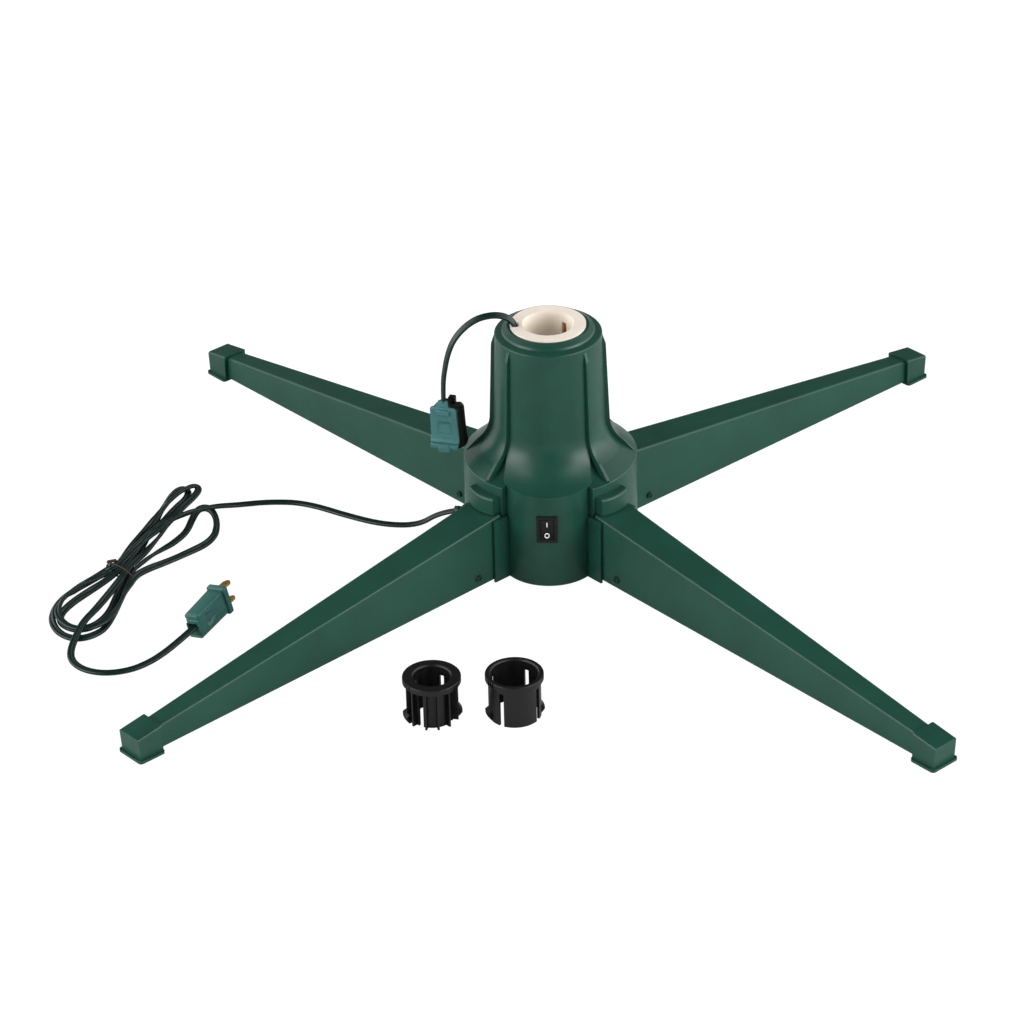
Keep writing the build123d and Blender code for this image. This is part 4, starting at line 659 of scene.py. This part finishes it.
FINISH = {
    "green_plastic": green_plastic, "green_paint": green_paint, "green_vinyl": green_vinyl,
    "cream_plastic": cream_plastic, "black_plastic": black_plastic, "bearing_plastic": bearing_plastic,
    "brass": brass, "screw_steel": screw_steel, "motor_steel": motor_steel, "tie_wire": tie_wire}
OWN_FINISH = {"leg_screws": screw_paint, "plug_fuse_door": teal_vinyl}


def dress(piece, material):
    """Gives a piece its one material."""
    piece.data.materials.clear()
    piece.data.materials.append(material)


for part in frame["record"]["subparts"]:
    node = nodes[part["node"]]
    finish = OWN_FINISH.get(part["node"], FINISH[part["material_slot"]])
    for place in node.material_slots:
        place.material = finish
for piece, finish in ((power_cord, green_vinyl), (rotor_cord, green_vinyl), (wire_tie, tie_wire),
                      # Painted light: the receptacle's front takes the lighter copy of the plug's teal
                      # vinyl for its lit face.
                      (plug_shell, teal_vinyl), (plug_contacts, brass), (socket_cover, teal_vinyl_painted_lit),
                      # Painted shade: the receptacle's rear half is drawn black for its shadowed side,
                      # though it is the same teal vinyl as the front.
                      (socket_back, black_plastic), (switch_marks, mark_paint)):
    dress(piece, finish)


# ---- stage and light ---------------------------------------------------------------------------
FLOOR_GLOW = 0.85                   # share of the floor's own light in what the camera sees of it
ROOM_SPREAD = 2.6                   # how closely the room's light keeps to its two sides
ROOM_SIDES = 3.4
ROOM_BASE = 0.07
LAMP_TARGET = (0, 0, 0.08)
GLEAM_TARGET = (0, 0, 0.1)


def math_node(tree, operation, first, second):
    """Math node whose inputs are sockets or numbers."""
    node = tree.nodes.new("ShaderNodeMath")
    node.operation = operation
    for socket, value in zip(node.inputs, (first, second)):
        if isinstance(value, (int, float)):
            socket.default_value = value
        else:
            tree.links.new(value, socket)
    return node.outputs[0]


def make_stage():
    """Floor that reads as white paper under even light and keeps a faint shadow."""
    mesh = bpy.data.meshes.new("floor")
    mesh.from_pydata([(-3, -3, 0), (3, -3, 0), (3, 6, 0), (-3, 6, 0)], [], [(0, 1, 2, 3)])
    floor = bpy.data.objects.new("floor", mesh)
    bpy.context.scene.collection.objects.link(floor)
    floor.location.z = -0.0004
    material, shader = new_material("paper", 0.9)
    shader.inputs["Base Color"].default_value = (0.8, 0.8, 0.8, 1)
    tree = material.node_tree
    glow = tree.nodes.new("ShaderNodeEmission")
    glow.inputs["Strength"].default_value = 1.15
    path = tree.nodes.new("ShaderNodeLightPath")
    mix = tree.nodes.new("ShaderNodeMixShader")
    seen = math_node(tree, "MULTIPLY", path.outputs["Is Camera Ray"], FLOOR_GLOW)
    tree.links.new(seen, mix.inputs["Fac"])
    tree.links.new(shader.outputs["BSDF"], mix.inputs[1])
    tree.links.new(glow.outputs["Emission"], mix.inputs[2])
    tree.links.new(mix.outputs["Shader"], tree.nodes["Material Output"].inputs["Surface"])
    mesh.materials.append(material)


def make_light(name, place, target, size, power, diffuse=True):
    """Soft box. Without diffuse it only shows as a gleam on rounded edges."""
    data = bpy.data.lights.new(name, "AREA")
    data.shape = "RECTANGLE"
    data.size, data.size_y = size
    data.energy = power
    lamp = bpy.data.objects.new(name, data)
    lamp.location = place
    lamp.visible_diffuse = diffuse
    lamp.rotation_mode = "QUATERNION"
    lamp.rotation_quaternion = (Vector(target) - Vector(place)).to_track_quat("-Z", "Y")
    bpy.context.scene.collection.objects.link(lamp)


def make_world():
    """White backdrop for the camera. The room itself is dim, but for its bright sides."""
    world = bpy.data.worlds.new("studio")
    bpy.context.scene.world = world
    world.use_nodes = True
    tree = world.node_tree
    back = tree.nodes["Background"]
    place = tree.nodes.new("ShaderNodeTexCoord")
    axes = tree.nodes.new("ShaderNodeSeparateXYZ")
    tree.links.new(place.outputs["Generated"], axes.inputs["Vector"])
    side = math_node(tree, "POWER", math_node(tree, "ABSOLUTE", axes.outputs["X"], 0), ROOM_SPREAD)
    room = math_node(tree, "ADD", math_node(tree, "MULTIPLY", side, ROOM_SIDES), ROOM_BASE)
    path = tree.nodes.new("ShaderNodeLightPath")
    seen = path.outputs["Is Camera Ray"]
    dimmed = math_node(tree, "MULTIPLY", room, math_node(tree, "SUBTRACT", 1, seen))
    tree.links.new(math_node(tree, "ADD", dimmed, seen), back.inputs["Strength"])
    back.inputs["Color"].default_value = (1, 1, 1, 1)


make_stage()
make_world()
make_light("left_box", (-1.5, -0.9, 0.7), LAMP_TARGET, (1.2, 0.9), 15.5)
make_light("right_box", (1.5, -0.7, 0.7), LAMP_TARGET, (1.2, 0.9), 17)
make_light("left_gleam", (-1.3, -1.0, 1.9), GLEAM_TARGET, (0.8, 0.8), 7, False)
make_light("right_gleam", (1.3, -1.0, 1.9), GLEAM_TARGET, (0.8, 0.8), 7, False)
bpy.context.scene.view_settings.view_transform = "Standard"
